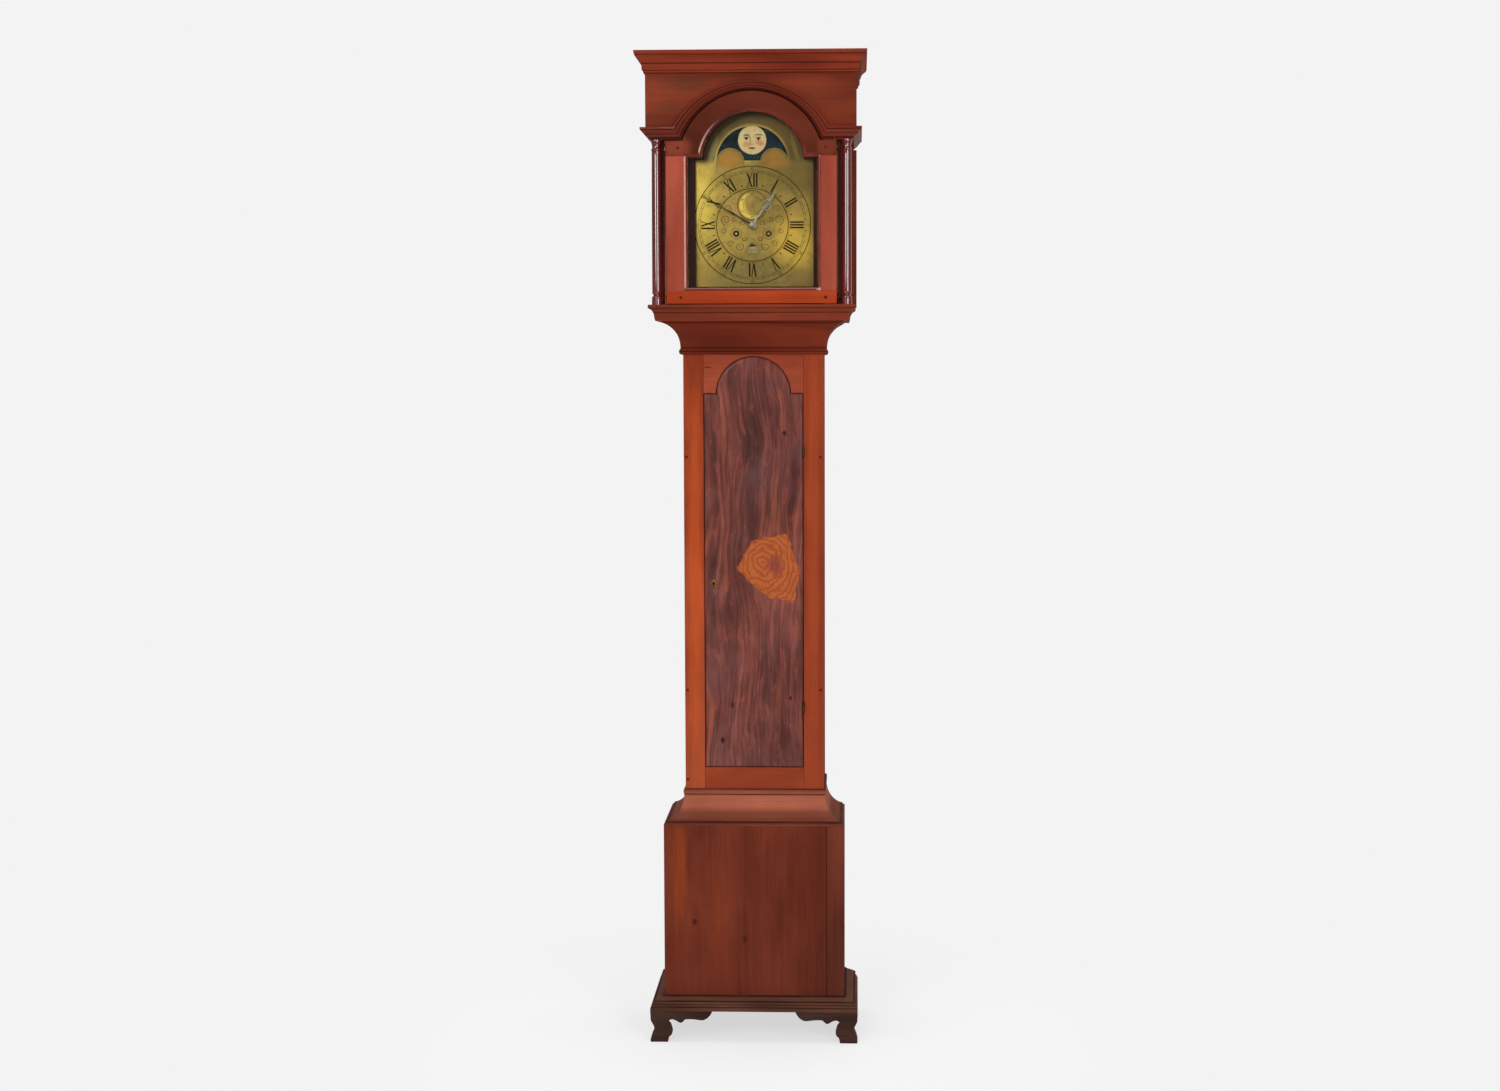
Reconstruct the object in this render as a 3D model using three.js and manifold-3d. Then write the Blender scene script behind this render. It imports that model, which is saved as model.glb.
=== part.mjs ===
// Tall case clock: a free-standing wooden case with a sliding hood, a hood door, a waist door,
// and an eight-day weight-driven movement behind an arched brass dial with a moon disc.
// Millimetres. X to the viewer's right, the front faces -Y, Z up, floor at zero.
import * as THREE from 'three';
import Module from 'manifold-3d';

const wasm = await Module();
wasm.setup();
const { Manifold, Mesh: SolidMesh } = wasm;

// Driving sizes. The hood is worked out from the dial, and the case below it from the hood.
const dialHalf = 152.4;
const dialFront = -64;
const back = 149;
const footTop = 75;
const waistHigh = 1038;

// Board thicknesses, clearances and the overrun of cutting bodies.
const boardThick = 18;
const thinBoard = 12;
const waistBoard = 16;
const hoodWall = 14;
const maskThick = 7;
const doorGap = 1;
const seatGap = 0.3;
const cutOver = 5;

// Heights of the parts of the case, from the feet to the hood's floor.
const baseMouldingHigh = 31;
const baseBoardHigh = 411;
const coveHigh = 81;
const throatHigh = 78;
const hoodBaseHigh = 37;
const baseMouldingTop = footTop + baseMouldingHigh;
const baseTop = baseMouldingTop + baseBoardHigh;
const coveTop = baseTop + coveHigh;
const throatBottom = coveTop + waistHigh;
const throatTop = throatBottom + throatHigh;
const hoodFloor = throatTop + hoodBaseHigh;

// The dial and the opening in the hood door that shows it.
const doorLift = 2;
const doorRailHigh = 38;
const dialUnder = 5.9;
const dialSideLap = 2.4;
const dialShoulderLap = 0.9;
const dialShoulderWide = 33.4;
const dialArchDrop = 6.9;
const openingArchDrop = 7.5;
const openingShift = 2.5;
const dialThickness = 2.5;
const hoodDoorBottom = hoodFloor + doorLift;
const openingBottom = hoodDoorBottom + doorRailHigh;
const dialHeight = openingBottom - dialUnder + dialHalf;
const dialArchCentre = dialHeight + dialHalf - dialArchDrop;
const dialArchRadius = dialHalf - dialShoulderWide;
const openingHalf = dialHalf - dialSideLap;
const openingShoulder = dialHeight + dialHalf - dialShoulderLap;
const openingArchCentre = dialArchCentre - openingArchDrop;
const openingArchRadius = dialArchRadius;

// The hood door round that opening, and the moulding round the door.
const doorStileWide = 48;
const doorShoulderHigh = 38.4;
const doorHeadWide = 49.4;
const doorArchDrop = 3.5;
const doorTopGap = 2.6;
const doorArchGap = 3.6;
const hoodDoorFrontInset = 4.4;
const hoodDoorThickness = 20;
const returnHeight = 27;
const archMouldingWide = 34;
const archMouldingDrop = 17;
const friezeOver = 18;
const corniceHigh = 51;
const hoodDoorHalf = openingHalf + doorStileWide;
const hoodDoorShoulder = openingShoulder + doorShoulderHigh;
const hoodDoorArchCentre = openingArchCentre - doorArchDrop;
const hoodDoorArchRadius = openingArchRadius + doorHeadWide;
const returnBottom = hoodDoorShoulder + doorTopGap;
const returnTop = returnBottom + returnHeight;
const archInnerRadius = hoodDoorArchRadius + doorArchGap;
const archOuterRadius = archInnerRadius + archMouldingWide;
const archInnerCentre = hoodDoorArchCentre;
const archOuterCentre = archInnerCentre - archMouldingDrop;
const corniceBottom = archOuterCentre + archOuterRadius + friezeOver;
const totalHeight = corniceBottom + corniceHigh;
const hoodTop = totalHeight - thinBoard;

// Half widths, each a step in or out from the one before.
const postWide = 28;
const hoodOver = 60;
const coveOut = 49;
const footOut = 32.5;
const entablatureOut = 17.8;
const corniceOut = 24.2;
const hoodWallHalf = hoodDoorHalf + postWide;
const waistHalf = hoodWallHalf - hoodOver;
const baseHalf = waistHalf + coveOut;
const footHalf = baseHalf + footOut;
const entablatureHalf = hoodWallHalf + entablatureOut;

// Front planes.
const friezeAhead = 60.8;
const waistBehind = 77.4;
const entablatureFront = dialFront - friezeAhead;
const hoodBaseFront = entablatureFront + entablatureOut;
const waistFront = entablatureFront + waistBehind;
const baseFront = waistFront - coveOut;
const boardBack = back - thinBoard;

// The waist door.
const waistRailHigh = 52.5;
const waistStileWide = 48.8;
const waistShoulderWide = 29.2;
const waistHeadGap = 5;
const waistShoulderRise = 1;
const waistDoorProud = 3.4;
const waistDoorThickness = 18.6;
const waistDoorBottom = coveTop + waistRailHigh;
const waistDoorHalf = waistHalf - waistStileWide;
const waistArchRadius = waistDoorHalf - waistShoulderWide;
const waistArchCentre = throatBottom - waistHeadGap - waistArchRadius;
const waistDoorShoulder = waistArchCentre + waistShoulderRise;

// Places of the movement, measured from the centre of the dial.
const windingAcross = 38;
const windingBelow = 20;
const secondsAbove = 45.5;

// Counts of facets, and the step to which equal corners are joined.
const archSteps = 22;
const doorArchSteps = 20;
const turnSteps = 18;
const smallSteps = 12;
const pinSteps = 10;
const studSteps = 8;
const weldStep = totalHeight * 1e-7;

const group = new THREE.Group();
group.name = 'tall_case_clock';

const paint = {
  darkWood: new THREE.Color(0.36, 0.17, 0.11),
  redWood: new THREE.Color(0.45, 0.2, 0.13),
  doorWood: new THREE.Color(0.33, 0.17, 0.14),
  pine: new THREE.Color(0.62, 0.46, 0.3),
  brass: new THREE.Color(0.72, 0.56, 0.27),
  steel: new THREE.Color(0.42, 0.43, 0.46),
  lead: new THREE.Color(0.35, 0.36, 0.38),
  glass: new THREE.Color(0.82, 0.88, 0.88),
  gut: new THREE.Color(0.7, 0.6, 0.42),
  sky: new THREE.Color(0.15, 0.2, 0.3),
};

// Closed surface of triangles to a solid: equal corners are joined and the faces turned outwards.
function toSolid(geometry) {
  const source = geometry.index ? geometry.toNonIndexed() : geometry;
  const place = source.attributes.position.array;
  const known = new Map();
  const corners = [];
  const faces = [];
  for (let start = 0; start < place.length; start += 9) {
    const face = [0, 3, 6].map((step) => {
      const corner = [...place.slice(start + step, start + step + 3)];
      const key = corner.map((value) => Math.round(value / weldStep)).join();
      if (!known.has(key)) {
        known.set(key, corners.length / 3);
        corners.push(...corner);
      }
      return known.get(key);
    });
    if (new Set(face).size === 3) faces.push(...face);
  }
  let volume = 0;
  for (let start = 0; start < faces.length; start += 3) {
    const [a, b, c] = [0, 1, 2].map((step) =>
      new THREE.Vector3().fromArray(corners, 3 * faces[start + step]));
    volume += a.dot(b.cross(c));
  }
  if (volume < 0) faces.reverse();
  return new Manifold(new SolidMesh({
    numProp: 3,
    vertProperties: new Float32Array(corners),
    triVerts: new Uint32Array(faces),
  }));
}

function addPart(name, solid, color, roughness = 0.5, metalness = 0) {
  const mesh = solid.getMesh();
  const geometry = new THREE.BufferGeometry();
  const corners = [];
  for (const index of mesh.triVerts) {
    for (let axis = 0; axis < 3; axis += 1) {
      corners.push(mesh.vertProperties[index * mesh.numProp + axis]);
    }
  }
  geometry.setAttribute('position', new THREE.Float32BufferAttribute(corners, 3));
  geometry.computeVertexNormals();
  const part = new THREE.Mesh(geometry, new THREE.MeshStandardMaterial({ color, roughness, metalness }));
  part.name = name;
  group.add(part);
  return solid;
}

const wood = (name, solid, color = paint.redWood) => addPart(name, solid, color, 0.45, 0);
const metal = (name, solid, color = paint.brass) => addPart(name, solid, color, 0.35, 0.8);

function join(...solids) {
  return solids.reduce((whole, next) => whole.add(next));
}

function cut(solid, ...tools) {
  return tools.reduce((whole, next) => whole.subtract(next), solid);
}

function block(left, right, front, rear, low, high) {
  const geometry = new THREE.BoxGeometry(right - left, rear - front, high - low);
  geometry.translate((left + right) / 2, (front + rear) / 2, (low + high) / 2);
  return toSolid(geometry);
}

function shapeOf(outline, holes = []) {
  const shape = new THREE.Shape(outline.map(([across, up]) => new THREE.Vector2(across, up)));
  for (const hole of holes) {
    shape.holes.push(new THREE.Path(hole.map(([across, up]) => new THREE.Vector2(across, up))));
  }
  return shape;
}

// Plate whose outline is given in X and Z and whose thickness runs along Y.
function plate(outline, front, rear, holes = []) {
  const geometry = new THREE.ExtrudeGeometry(shapeOf(outline, holes),
    { depth: rear - front, bevelEnabled: false });
  geometry.rotateX(Math.PI / 2);
  geometry.translate(0, rear, 0);
  return toSolid(geometry);
}

// Plate whose outline is given in Y and Z and whose thickness runs along X.
function sidePlate(outline, left, right) {
  const geometry = new THREE.ExtrudeGeometry(shapeOf(outline), { depth: right - left, bevelEnabled: false });
  geometry.rotateX(Math.PI / 2);
  geometry.rotateZ(Math.PI / 2);
  geometry.translate(left, 0, 0);
  return toSolid(geometry);
}

// Turned body about an upright axis, from pairs of radius and height.
function turnedUp(profile, across, deep, steps = turnSteps) {
  const geometry = new THREE.LatheGeometry(profile.map(([radius, high]) =>
    new THREE.Vector2(radius, high)), steps);
  geometry.rotateX(Math.PI / 2);
  geometry.translate(across, deep, 0);
  return toSolid(geometry);
}

// Turned body about an axis that runs front to back, from pairs of radius and Y.
function turnedBack(profile, across, high, steps = turnSteps) {
  const geometry = new THREE.LatheGeometry(profile.map(([radius, deep]) =>
    new THREE.Vector2(radius, deep)), steps);
  geometry.translate(across, 0, high);
  return toSolid(geometry);
}

const rod = (radius, front, rear, across, high, steps = pinSteps) =>
  turnedBack([[0, front], [radius, front], [radius, rear], [0, rear]], across, high, steps);
const post = (radius, low, high, across, deep, steps = pinSteps) =>
  turnedUp([[0, low], [radius, low], [radius, high], [0, high]], across, deep, steps);

// Body through equal rings of points, closed at both ends with the flat outline.
function loft(outline, rings) {
  const count = outline.length;
  const faces = [];
  for (let ring = 0; ring + 1 < rings.length; ring += 1) {
    for (let step = 0; step < count; step += 1) {
      const next = (step + 1) % count;
      const [a, b] = [rings[ring][step], rings[ring][next]];
      const [c, d] = [rings[ring + 1][next], rings[ring + 1][step]];
      faces.push(a, b, c, a, c, d);
    }
  }
  const contour = outline.map(([across, up]) => new THREE.Vector2(across, up));
  const turn = THREE.ShapeUtils.area(contour);
  for (const fill of THREE.ShapeUtils.triangulateShape(contour, [])) {
    const side = THREE.ShapeUtils.area(fill.map((index) => contour[index]));
    const face = side * turn > 0 ? fill : [...fill].reverse();
    faces.push(...face.map((index) => rings[rings.length - 1][index]));
    faces.push(...[...face].reverse().map((index) => rings[0][index]));
  }
  const geometry = new THREE.BufferGeometry();
  geometry.setAttribute('position', new THREE.Float32BufferAttribute(faces.flat(), 3));
  return toSolid(geometry);
}

// Moulding that runs along the left side, the front and the right side, mitred at both corners.
function threeSided(profile, half, front, rear = back) {
  return loft(profile, [
    profile.map(([out, up]) => [-half - out, rear, up]),
    profile.map(([out, up]) => [-half - out, front - out, up]),
    profile.map(([out, up]) => [half + out, front - out, up]),
    profile.map(([out, up]) => [half + out, rear, up]),
  ]);
}

// Points of a profile from shares of its projection and of its height.
function profileOf(shares, projection, low, high) {
  return shares.map(([out, up]) => [out * projection, low + up * (high - low)]);
}

function arc(across, high, radius, from, to, steps) {
  return Array.from({ length: steps + 1 }, (_, step) => {
    const angle = from + (to - from) * step / steps;
    return [across + radius * Math.cos(angle), high + radius * Math.sin(angle)];
  });
}

const ringOf = (radius, across, high, steps = pinSteps) =>
  arc(across, high, radius, 0, 2 * Math.PI, steps).slice(0, steps);

// Rectangle with shoulders and a round arch above, grown outwards by the last number.
function archedOutline(shift, half, low, shoulder, centre, radius, grow = 0) {
  const foot = Math.asin((shoulder + grow - centre) / (radius + grow));
  return [
    [shift - half - grow, low - grow],
    [shift + half + grow, low - grow],
    [shift + half + grow, shoulder + grow],
    ...arc(shift, centre, radius + grow, foot, Math.PI - foot, doorArchSteps),
    [shift - half - grow, shoulder + grow],
  ];
}

// Base box, its moulding and the cove above it.
const baseBack = boardBack;
wood('base_front_board', block(-baseHalf, baseHalf, baseFront, baseFront + boardThick, footTop, baseTop),
  paint.darkWood);
for (const [name, side] of [['left', -1], ['right', 1]]) {
  const inner = side * (baseHalf - boardThick);
  const outer = side * baseHalf;
  wood(`base_side_${name}`, block(Math.min(inner, outer), Math.max(inner, outer),
    baseFront + boardThick, baseBack, footTop, baseTop), paint.darkWood);
}

const baseMouldingShares = [
  [0, 0], [1, 0], [1, 0.2], [0.93, 0.24], [0.93, 0.36], [0.83, 0.42], [0.83, 0.68], [0.76, 0.7],
  [0.68, 0.74], [0.42, 0.84], [0.2, 0.9], [0.12, 0.94], [0.12, 1], [0, 1],
];
wood('base_moulding', threeSided(profileOf(baseMouldingShares, footOut, footTop, baseMouldingTop),
  baseHalf, baseFront), paint.darkWood);

const coveShares = [
  [0, 0], [1, 0], [1, 0.035], [0.93, 0.06], [0.89, 0.06], [0.89, 0.1], [0.76, 0.115], [0.6, 0.16],
  [0.46, 0.225], [0.33, 0.31], [0.22, 0.41], [0.14, 0.53], [0.09, 0.66], [0.07, 0.8],
  [0.07, 0.84], [0.1, 0.87], [0.1, 0.95], [0.06, 1], [0, 1],
];
wood('base_cove_moulding', threeSided(profileOf(coveShares, coveOut, baseTop, coveTop),
  waistHalf, waistFront), paint.darkWood);

// Bracket feet: an ogee face, with an open scrolled outline sawn under each leg.
const footThick = 20;
const footLegFront = 148;
const footLegSide = 108;
const footLegRear = 88;
const ogeeDepth = 8.6;
const ogeeShares = [
  [0.12, 0], [0.05, 0.08], [0.35, 0.2], [0.75, 0.3], [1, 0.4], [0.85, 0.5], [0.4, 0.62],
  [0.08, 0.72], [0, 0.82], [0, 1],
];
// Shares of the leg length, from the outer corner, and of the foot height.
const scrollShares = [
  [0.283, 0], [0.304, 0.16], [0.34, 0.22], [0.355, 0.32], [0.34, 0.45], [0.327, 0.53], [0.286, 0.645],
  [0.32, 0.72], [0.365, 0.735], [0.42, 0.69], [0.488, 0.61], [0.53, 0.66], [0.57, 0.735], [0.65, 0.745],
  [0.73, 0.735], [0.8, 0.715], [0.86, 0.715], [0.92, 0.78], [0.965, 0.87], [1, 0.985],
];
const ogeeSkin = ogeeShares.map(([deep, up]) => [-deep * ogeeDepth, up * footTop]);
const footSection = [...ogeeSkin, [-footThick, footTop], [-footThick, 0]];
const footFront = baseFront - footOut;

function scrollUnder(leg) {
  return [...scrollShares.map(([along, up]) => [along * leg, up * footTop]),
    [leg + cutOver, footTop * scrollShares[scrollShares.length - 1][1]],
    [leg + cutOver, -cutOver], [scrollShares[0][0] * leg, -cutOver]];
}

for (const [name, side] of [['left', -1], ['right', 1]]) {
  const outerCorner = side * footHalf;
  const frontFoot = loft(footSection, [
    footSection.map(([out, up]) => [side * (footHalf + out), footFront + footLegSide, up]),
    footSection.map(([out, up]) => [side * (footHalf + out), footFront - out, up]),
    footSection.map(([out, up]) => [outerCorner - side * footLegFront, footFront - out, up]),
  ]);
  const underFront = plate(scrollUnder(footLegFront).map(([along, up]) => [outerCorner - side * along, up]),
    footFront - cutOver, footFront + footThick + cutOver);
  const underSide = sidePlate(scrollUnder(footLegSide).map(([along, up]) => [footFront + along, up]),
    -footHalf - cutOver, footHalf + cutOver);
  wood(`foot_front_${name}`, cut(frontFoot, underFront, underSide), paint.darkWood);

  const rearFoot = join(
    loft(footSection, [
      footSection.map(([out, up]) => [side * (footHalf + out), back - footLegSide, up]),
      footSection.map(([out, up]) => [side * (footHalf + out), back, up]),
    ]),
    block(Math.min(side * (footHalf - footLegRear), side * (footHalf - footThick)),
      Math.max(side * (footHalf - footLegRear), side * (footHalf - footThick)),
      back - footThick, back, 0, footTop),
  );
  const underRearSide = sidePlate(scrollUnder(footLegSide).map(([along, up]) => [back - along, up]),
    -footHalf - cutOver, footHalf + cutOver);
  const slope = [[footHalf - footThick - ogeeDepth, -cutOver], [footHalf - footThick - ogeeDepth, 0],
    [footHalf - footLegRear, footTop - ogeeDepth], [footHalf - footLegRear - cutOver, footTop - ogeeDepth],
    [footHalf - footLegRear - cutOver, -cutOver]];
  const underRear = plate(slope.map(([across, up]) => [side * across, up]), back - footThick - cutOver,
    back + cutOver);
  wood(`foot_rear_${name}`, cut(rearFoot, underRearSide, underRear), paint.darkWood);
}

// Waist: front frame, two sides that run up as cheeks, throat moulding and the long back board.
const waistTuck = 47;
const seatBelow = 94.5;
const seatThick = 20;
const backboardUnder = 29;
const waistFoot = baseTop - waistTuck;
const seatTop = dialHeight - seatBelow;
const seatUnder = seatTop - seatThick;
const backboardTop = corniceBottom - backboardUnder;
const hoodClearHalf = waistHalf - waistBoard;

const waistOpening = (grow) => archedOutline(0, waistDoorHalf, waistDoorBottom, waistDoorShoulder,
  waistArchCentre, waistArchRadius, grow);
const waistPlate = plate([[-waistHalf, waistFoot], [waistHalf, waistFoot], [waistHalf, throatTop],
  [-waistHalf, throatTop]], waistFront, waistFront + waistBoard, [waistOpening(doorGap)]);

// Butt hinges of the waist door: the knuckles stand in the joint line on the right.
const knuckleRadius = 2.7;
const knuckleHalf = 14;
const knuckleAcross = waistDoorHalf + doorGap / 2;
const knuckleDeep = waistFront - waistDoorProud;
const leafThick = 1.5;
const leafWide = 15;
const hingeDown = 139;
const hingeUp = 143.5;
const hingeHeights = { upper: waistDoorShoulder - hingeDown, lower: waistDoorBottom + hingeUp };
const knuckleCuts = Object.values(hingeHeights).map((high) =>
  post(knuckleRadius + seatGap, high - knuckleHalf - seatGap, high + knuckleHalf + seatGap,
    knuckleAcross, knuckleDeep, smallSteps));
wood('waist_front_frame', cut(waistPlate, ...knuckleCuts));

const waistSideFront = waistFront + waistBoard;
for (const [name, side] of [['left', -1], ['right', 1]]) {
  const inner = side * (waistHalf - waistBoard);
  const outer = side * waistHalf;
  wood(`waist_side_${name}`, block(Math.min(inner, outer), Math.max(inner, outer),
    waistSideFront, boardBack, waistFoot, seatUnder));
}

wood('backboard', plate([
  [-baseHalf, footTop], [baseHalf, footTop], [baseHalf, baseTop], [waistHalf, baseTop],
  [waistHalf, throatTop], [hoodClearHalf, throatTop], [hoodClearHalf, backboardTop],
  [-hoodClearHalf, backboardTop], [-hoodClearHalf, throatTop], [-waistHalf, throatTop],
  [-waistHalf, baseTop], [-baseHalf, baseTop],
], boardBack, back), paint.pine);

const throatProjection = 47;
const throatShares = [
  [0, 0], [0.1, 0], [0.17, 0.03], [0.19, 0.08], [0.19, 0.11], [0.15, 0.16], [0.12, 0.18], [0.12, 0.22],
  [0.13, 0.3], [0.155, 0.4], [0.2, 0.5], [0.27, 0.6], [0.37, 0.69], [0.5, 0.78], [0.66, 0.86],
  [0.86, 0.93], [0.9, 0.93], [0.92, 0.96], [1, 0.965], [1, 1], [0, 1],
];
wood('throat_moulding', threeSided(profileOf(throatShares, throatProjection, throatBottom, throatTop),
  waistHalf, waistFront));

// Waist door: one board with a moulded edge, hung on the right, with its keyhole plate.
const doorEdge = 7;
const doorEdgeShares = [[-1, 0], [-0.5, 0.1], [-0.16, 0.42], [0, 1]];
const doorFront = waistFront - waistDoorProud;
const doorBack = doorFront + waistDoorThickness;
const doorRings = [
  ...doorEdgeShares.map(([grow, deep]) => ({ grow: grow * doorEdge, deep: doorFront + deep * doorEdge })),
  { grow: 0, deep: doorBack },
];
let waistDoor = loft(waistOpening(0), doorRings.map(({ grow, deep }) =>
  waistOpening(grow).map(([across, up]) => [across, deep, up])));
waistDoor = cut(waistDoor, ...knuckleCuts);
for (const high of Object.values(hingeHeights)) {
  waistDoor = cut(waistDoor, block(waistDoorHalf - leafThick - seatGap, waistDoorHalf + cutOver,
    knuckleDeep - knuckleRadius, knuckleDeep + leafWide + seatGap,
    high - knuckleHalf - seatGap, high + knuckleHalf + seatGap));
}
const keyIn = 20.8;
const keyUp = 441.5;
const keyAcross = keyIn - waistDoorHalf;
const keyHeight = waistDoorBottom + keyUp;
const keyHoleRadius = 2;
waistDoor = cut(waistDoor, rod(keyHoleRadius, doorFront - cutOver, doorBack + cutOver, keyAcross, keyHeight,
  pinSteps));
wood('waist_door', waistDoor, paint.doorWood);

const escutcheonHalfWide = 5.2;
const escutcheonHalfHigh = 8.4;
const escutcheonThick = 0.9;
const escutcheonOutline = arc(0, 0, 1, 0, 2 * Math.PI, turnSteps).slice(0, turnSteps)
  .map(([across, up]) => [keyAcross + across * escutcheonHalfWide, keyHeight + up * escutcheonHalfHigh]);
metal('door_escutcheon', plate(escutcheonOutline, doorFront - escutcheonThick, doorFront,
  [ringOf(keyHoleRadius, keyAcross, keyHeight)]));

for (const [name, high] of Object.entries(hingeHeights)) {
  metal(`waist_hinge_${name}`, join(
    post(knuckleRadius, high - knuckleHalf, high + knuckleHalf, knuckleAcross, knuckleDeep, smallSteps),
    block(waistDoorHalf - leafThick, waistDoorHalf, knuckleDeep, knuckleDeep + leafWide,
      high - knuckleHalf, high + knuckleHalf),
  ));
}

// Hood: base frame, two walls with their corner posts, front board, top, mouldings and columns.
const hoodBaseInner = -42;
const hoodBaseProjection = 15.5;
const hoodBaseShares = [
  [0, 0.04], [0.08, 0.1], [0.14, 0.28], [0.2, 0.45], [0.3, 0.5], [0.34, 0.56], [0.52, 0.66],
  [0.8, 0.74], [1, 0.78], [1, 0.95], [0.93, 1],
];
const hoodBaseProfile = [...profileOf(hoodBaseShares, hoodBaseProjection, throatTop, hoodFloor),
  [hoodBaseInner, hoodFloor], [hoodBaseInner, throatTop], [0, throatTop]];

const hoodDoorFront = entablatureFront + hoodDoorFrontInset;
const hoodDoorBack = hoodDoorFront + hoodDoorThickness;
const pivotIn = 6;
const pivotAcross = hoodDoorHalf - pivotIn;
const pivotInset = 4;
const pivotDeep = hoodDoorFront + pivotInset;
const pivotRadius = 2;
const pivotReach = 9;
const strapThick = 1.4;
const pivotHole = (low, high) => post(pivotRadius + seatGap, low, high, pivotAcross, pivotDeep, pinSteps);

wood('hood_base_frame', cut(threeSided(hoodBaseProfile, hoodWallHalf, hoodBaseFront),
  pivotHole(hoodFloor - pivotReach - seatGap, hoodFloor + cutOver)));

const postFrontGap = 12;
const postFront = hoodDoorBack + postFrontGap;
const postDeep = 22;
const postInner = hoodDoorHalf + doorGap;
const beadRadius = 3.2;
const stripDeep = 24;
const returnRebate = 0.5;
const friezeBottom = returnBottom + returnRebate * returnHeight;
for (const [name, side] of [['left', -1], ['right', 1]]) {
  const across = (a, b) => [Math.min(side * a, side * b), Math.max(side * a, side * b)];
  wood(`hood_side_${name}`, join(
    block(...across(hoodWallHalf - hoodWall, hoodWallHalf), postFront, back, hoodFloor, hoodTop),
    block(...across(postInner, hoodWallHalf), postFront, postFront + postDeep, hoodFloor, hoodTop),
    block(...across(hoodWallHalf - hoodWall / 2, entablatureHalf), back - stripDeep, back, hoodFloor,
      returnBottom),
    block(...across(hoodWallHalf - hoodWall / 2, entablatureHalf), entablatureFront + boardThick, back,
      friezeBottom + seatGap, hoodTop),
    post(beadRadius, hoodFloor, returnBottom, side * (postInner + beadRadius), postFront, pinSteps),
  ));
}

// The moulding leaves the side, turns the corner, climbs round the arch and comes back down.
const returnProjection = 12.3;
const returnShares = [
  [0, 1], [0.96, 1], [1, 0.97], [1, 0.82], [0.8, 0.76], [0.6, 0.66], [0.3, 0.5], [-0.05, 0.32],
  [-0.4, 0.2], [-0.55, 0.16], [-0.55, 0.08], [-0.85, 0.05], [-0.9, 0],
];
const returnBack = -entablatureOut;
const returnProfile = [
  ...returnShares.map(([out, up]) => [out * returnProjection, up]),
  [returnBack, 0], [returnBack, returnRebate], [0, returnRebate],
];
const archAt = (share) => ({
  radius: archInnerRadius + share * (archOuterRadius - archInnerRadius),
  centre: archInnerCentre + share * (archOuterCentre - archInnerCentre),
});
function archRing(share, turn) {
  const { radius, centre } = archAt(share);
  const foot = Math.asin((returnBottom + share * returnHeight - centre) / radius);
  const angle = Math.PI - foot - (Math.PI - 2 * foot) * turn;
  return [radius * Math.cos(angle), centre + radius * Math.sin(angle)];
}
const highAt = (share) => returnBottom + share * returnHeight;
const archRings = Array.from({ length: archSteps + 1 }, (_, step) =>
  returnProfile.map(([out, share]) => {
    const [across, up] = archRing(share, step / archSteps);
    return [across, entablatureFront - out, up];
  }));
const hoodMoulding = loft(returnProfile, [
  returnProfile.map(([out, share]) => [-entablatureHalf - out, back, highAt(share)]),
  returnProfile.map(([out, share]) => [-entablatureHalf - out, entablatureFront - out, highAt(share)]),
  ...archRings,
  returnProfile.map(([out, share]) => [entablatureHalf + out, entablatureFront - out, highAt(share)]),
  returnProfile.map(([out, share]) => [entablatureHalf + out, back, highAt(share)]),
]);
wood('hood_moulding', cut(hoodMoulding,
  pivotHole(returnBottom - cutOver, hoodDoorShoulder + strapThick + pivotReach + seatGap)));

const archCut = Array.from({ length: archSteps + 1 }, (_, step) => {
  const [across, up] = archRing(returnRebate, 1 - step / archSteps);
  const { centre } = archAt(returnRebate);
  const reach = Math.hypot(across, up - centre);
  return [across * (1 + seatGap / reach), centre + (up - centre) * (1 + seatGap / reach)];
});
wood('hood_front_board', plate([
  [-entablatureHalf, friezeBottom + seatGap], ...[...archCut].reverse(),
  [entablatureHalf, friezeBottom + seatGap], [entablatureHalf, hoodTop], [-entablatureHalf, hoodTop],
], entablatureFront, entablatureFront + boardThick));
wood('hood_top_board', block(-entablatureHalf, entablatureHalf, entablatureFront, back, hoodTop, totalHeight),
  paint.pine);

const corniceShares = [
  [0, 0], [0.06, 0], [0.14, 0.04], [0.17, 0.1], [0.17, 0.14], [0.27, 0.16], [0.3, 0.22], [0.3, 0.44],
  [0.38, 0.46], [0.4, 0.52], [0.5, 0.62], [0.66, 0.71], [0.84, 0.77], [0.93, 0.79], [0.93, 0.84],
  [0.98, 0.86], [1, 0.95], [1, 1], [0, 1],
];
wood('cornice_moulding', threeSided(profileOf(corniceShares, corniceOut, corniceBottom,
  totalHeight), entablatureHalf, entablatureFront));

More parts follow.
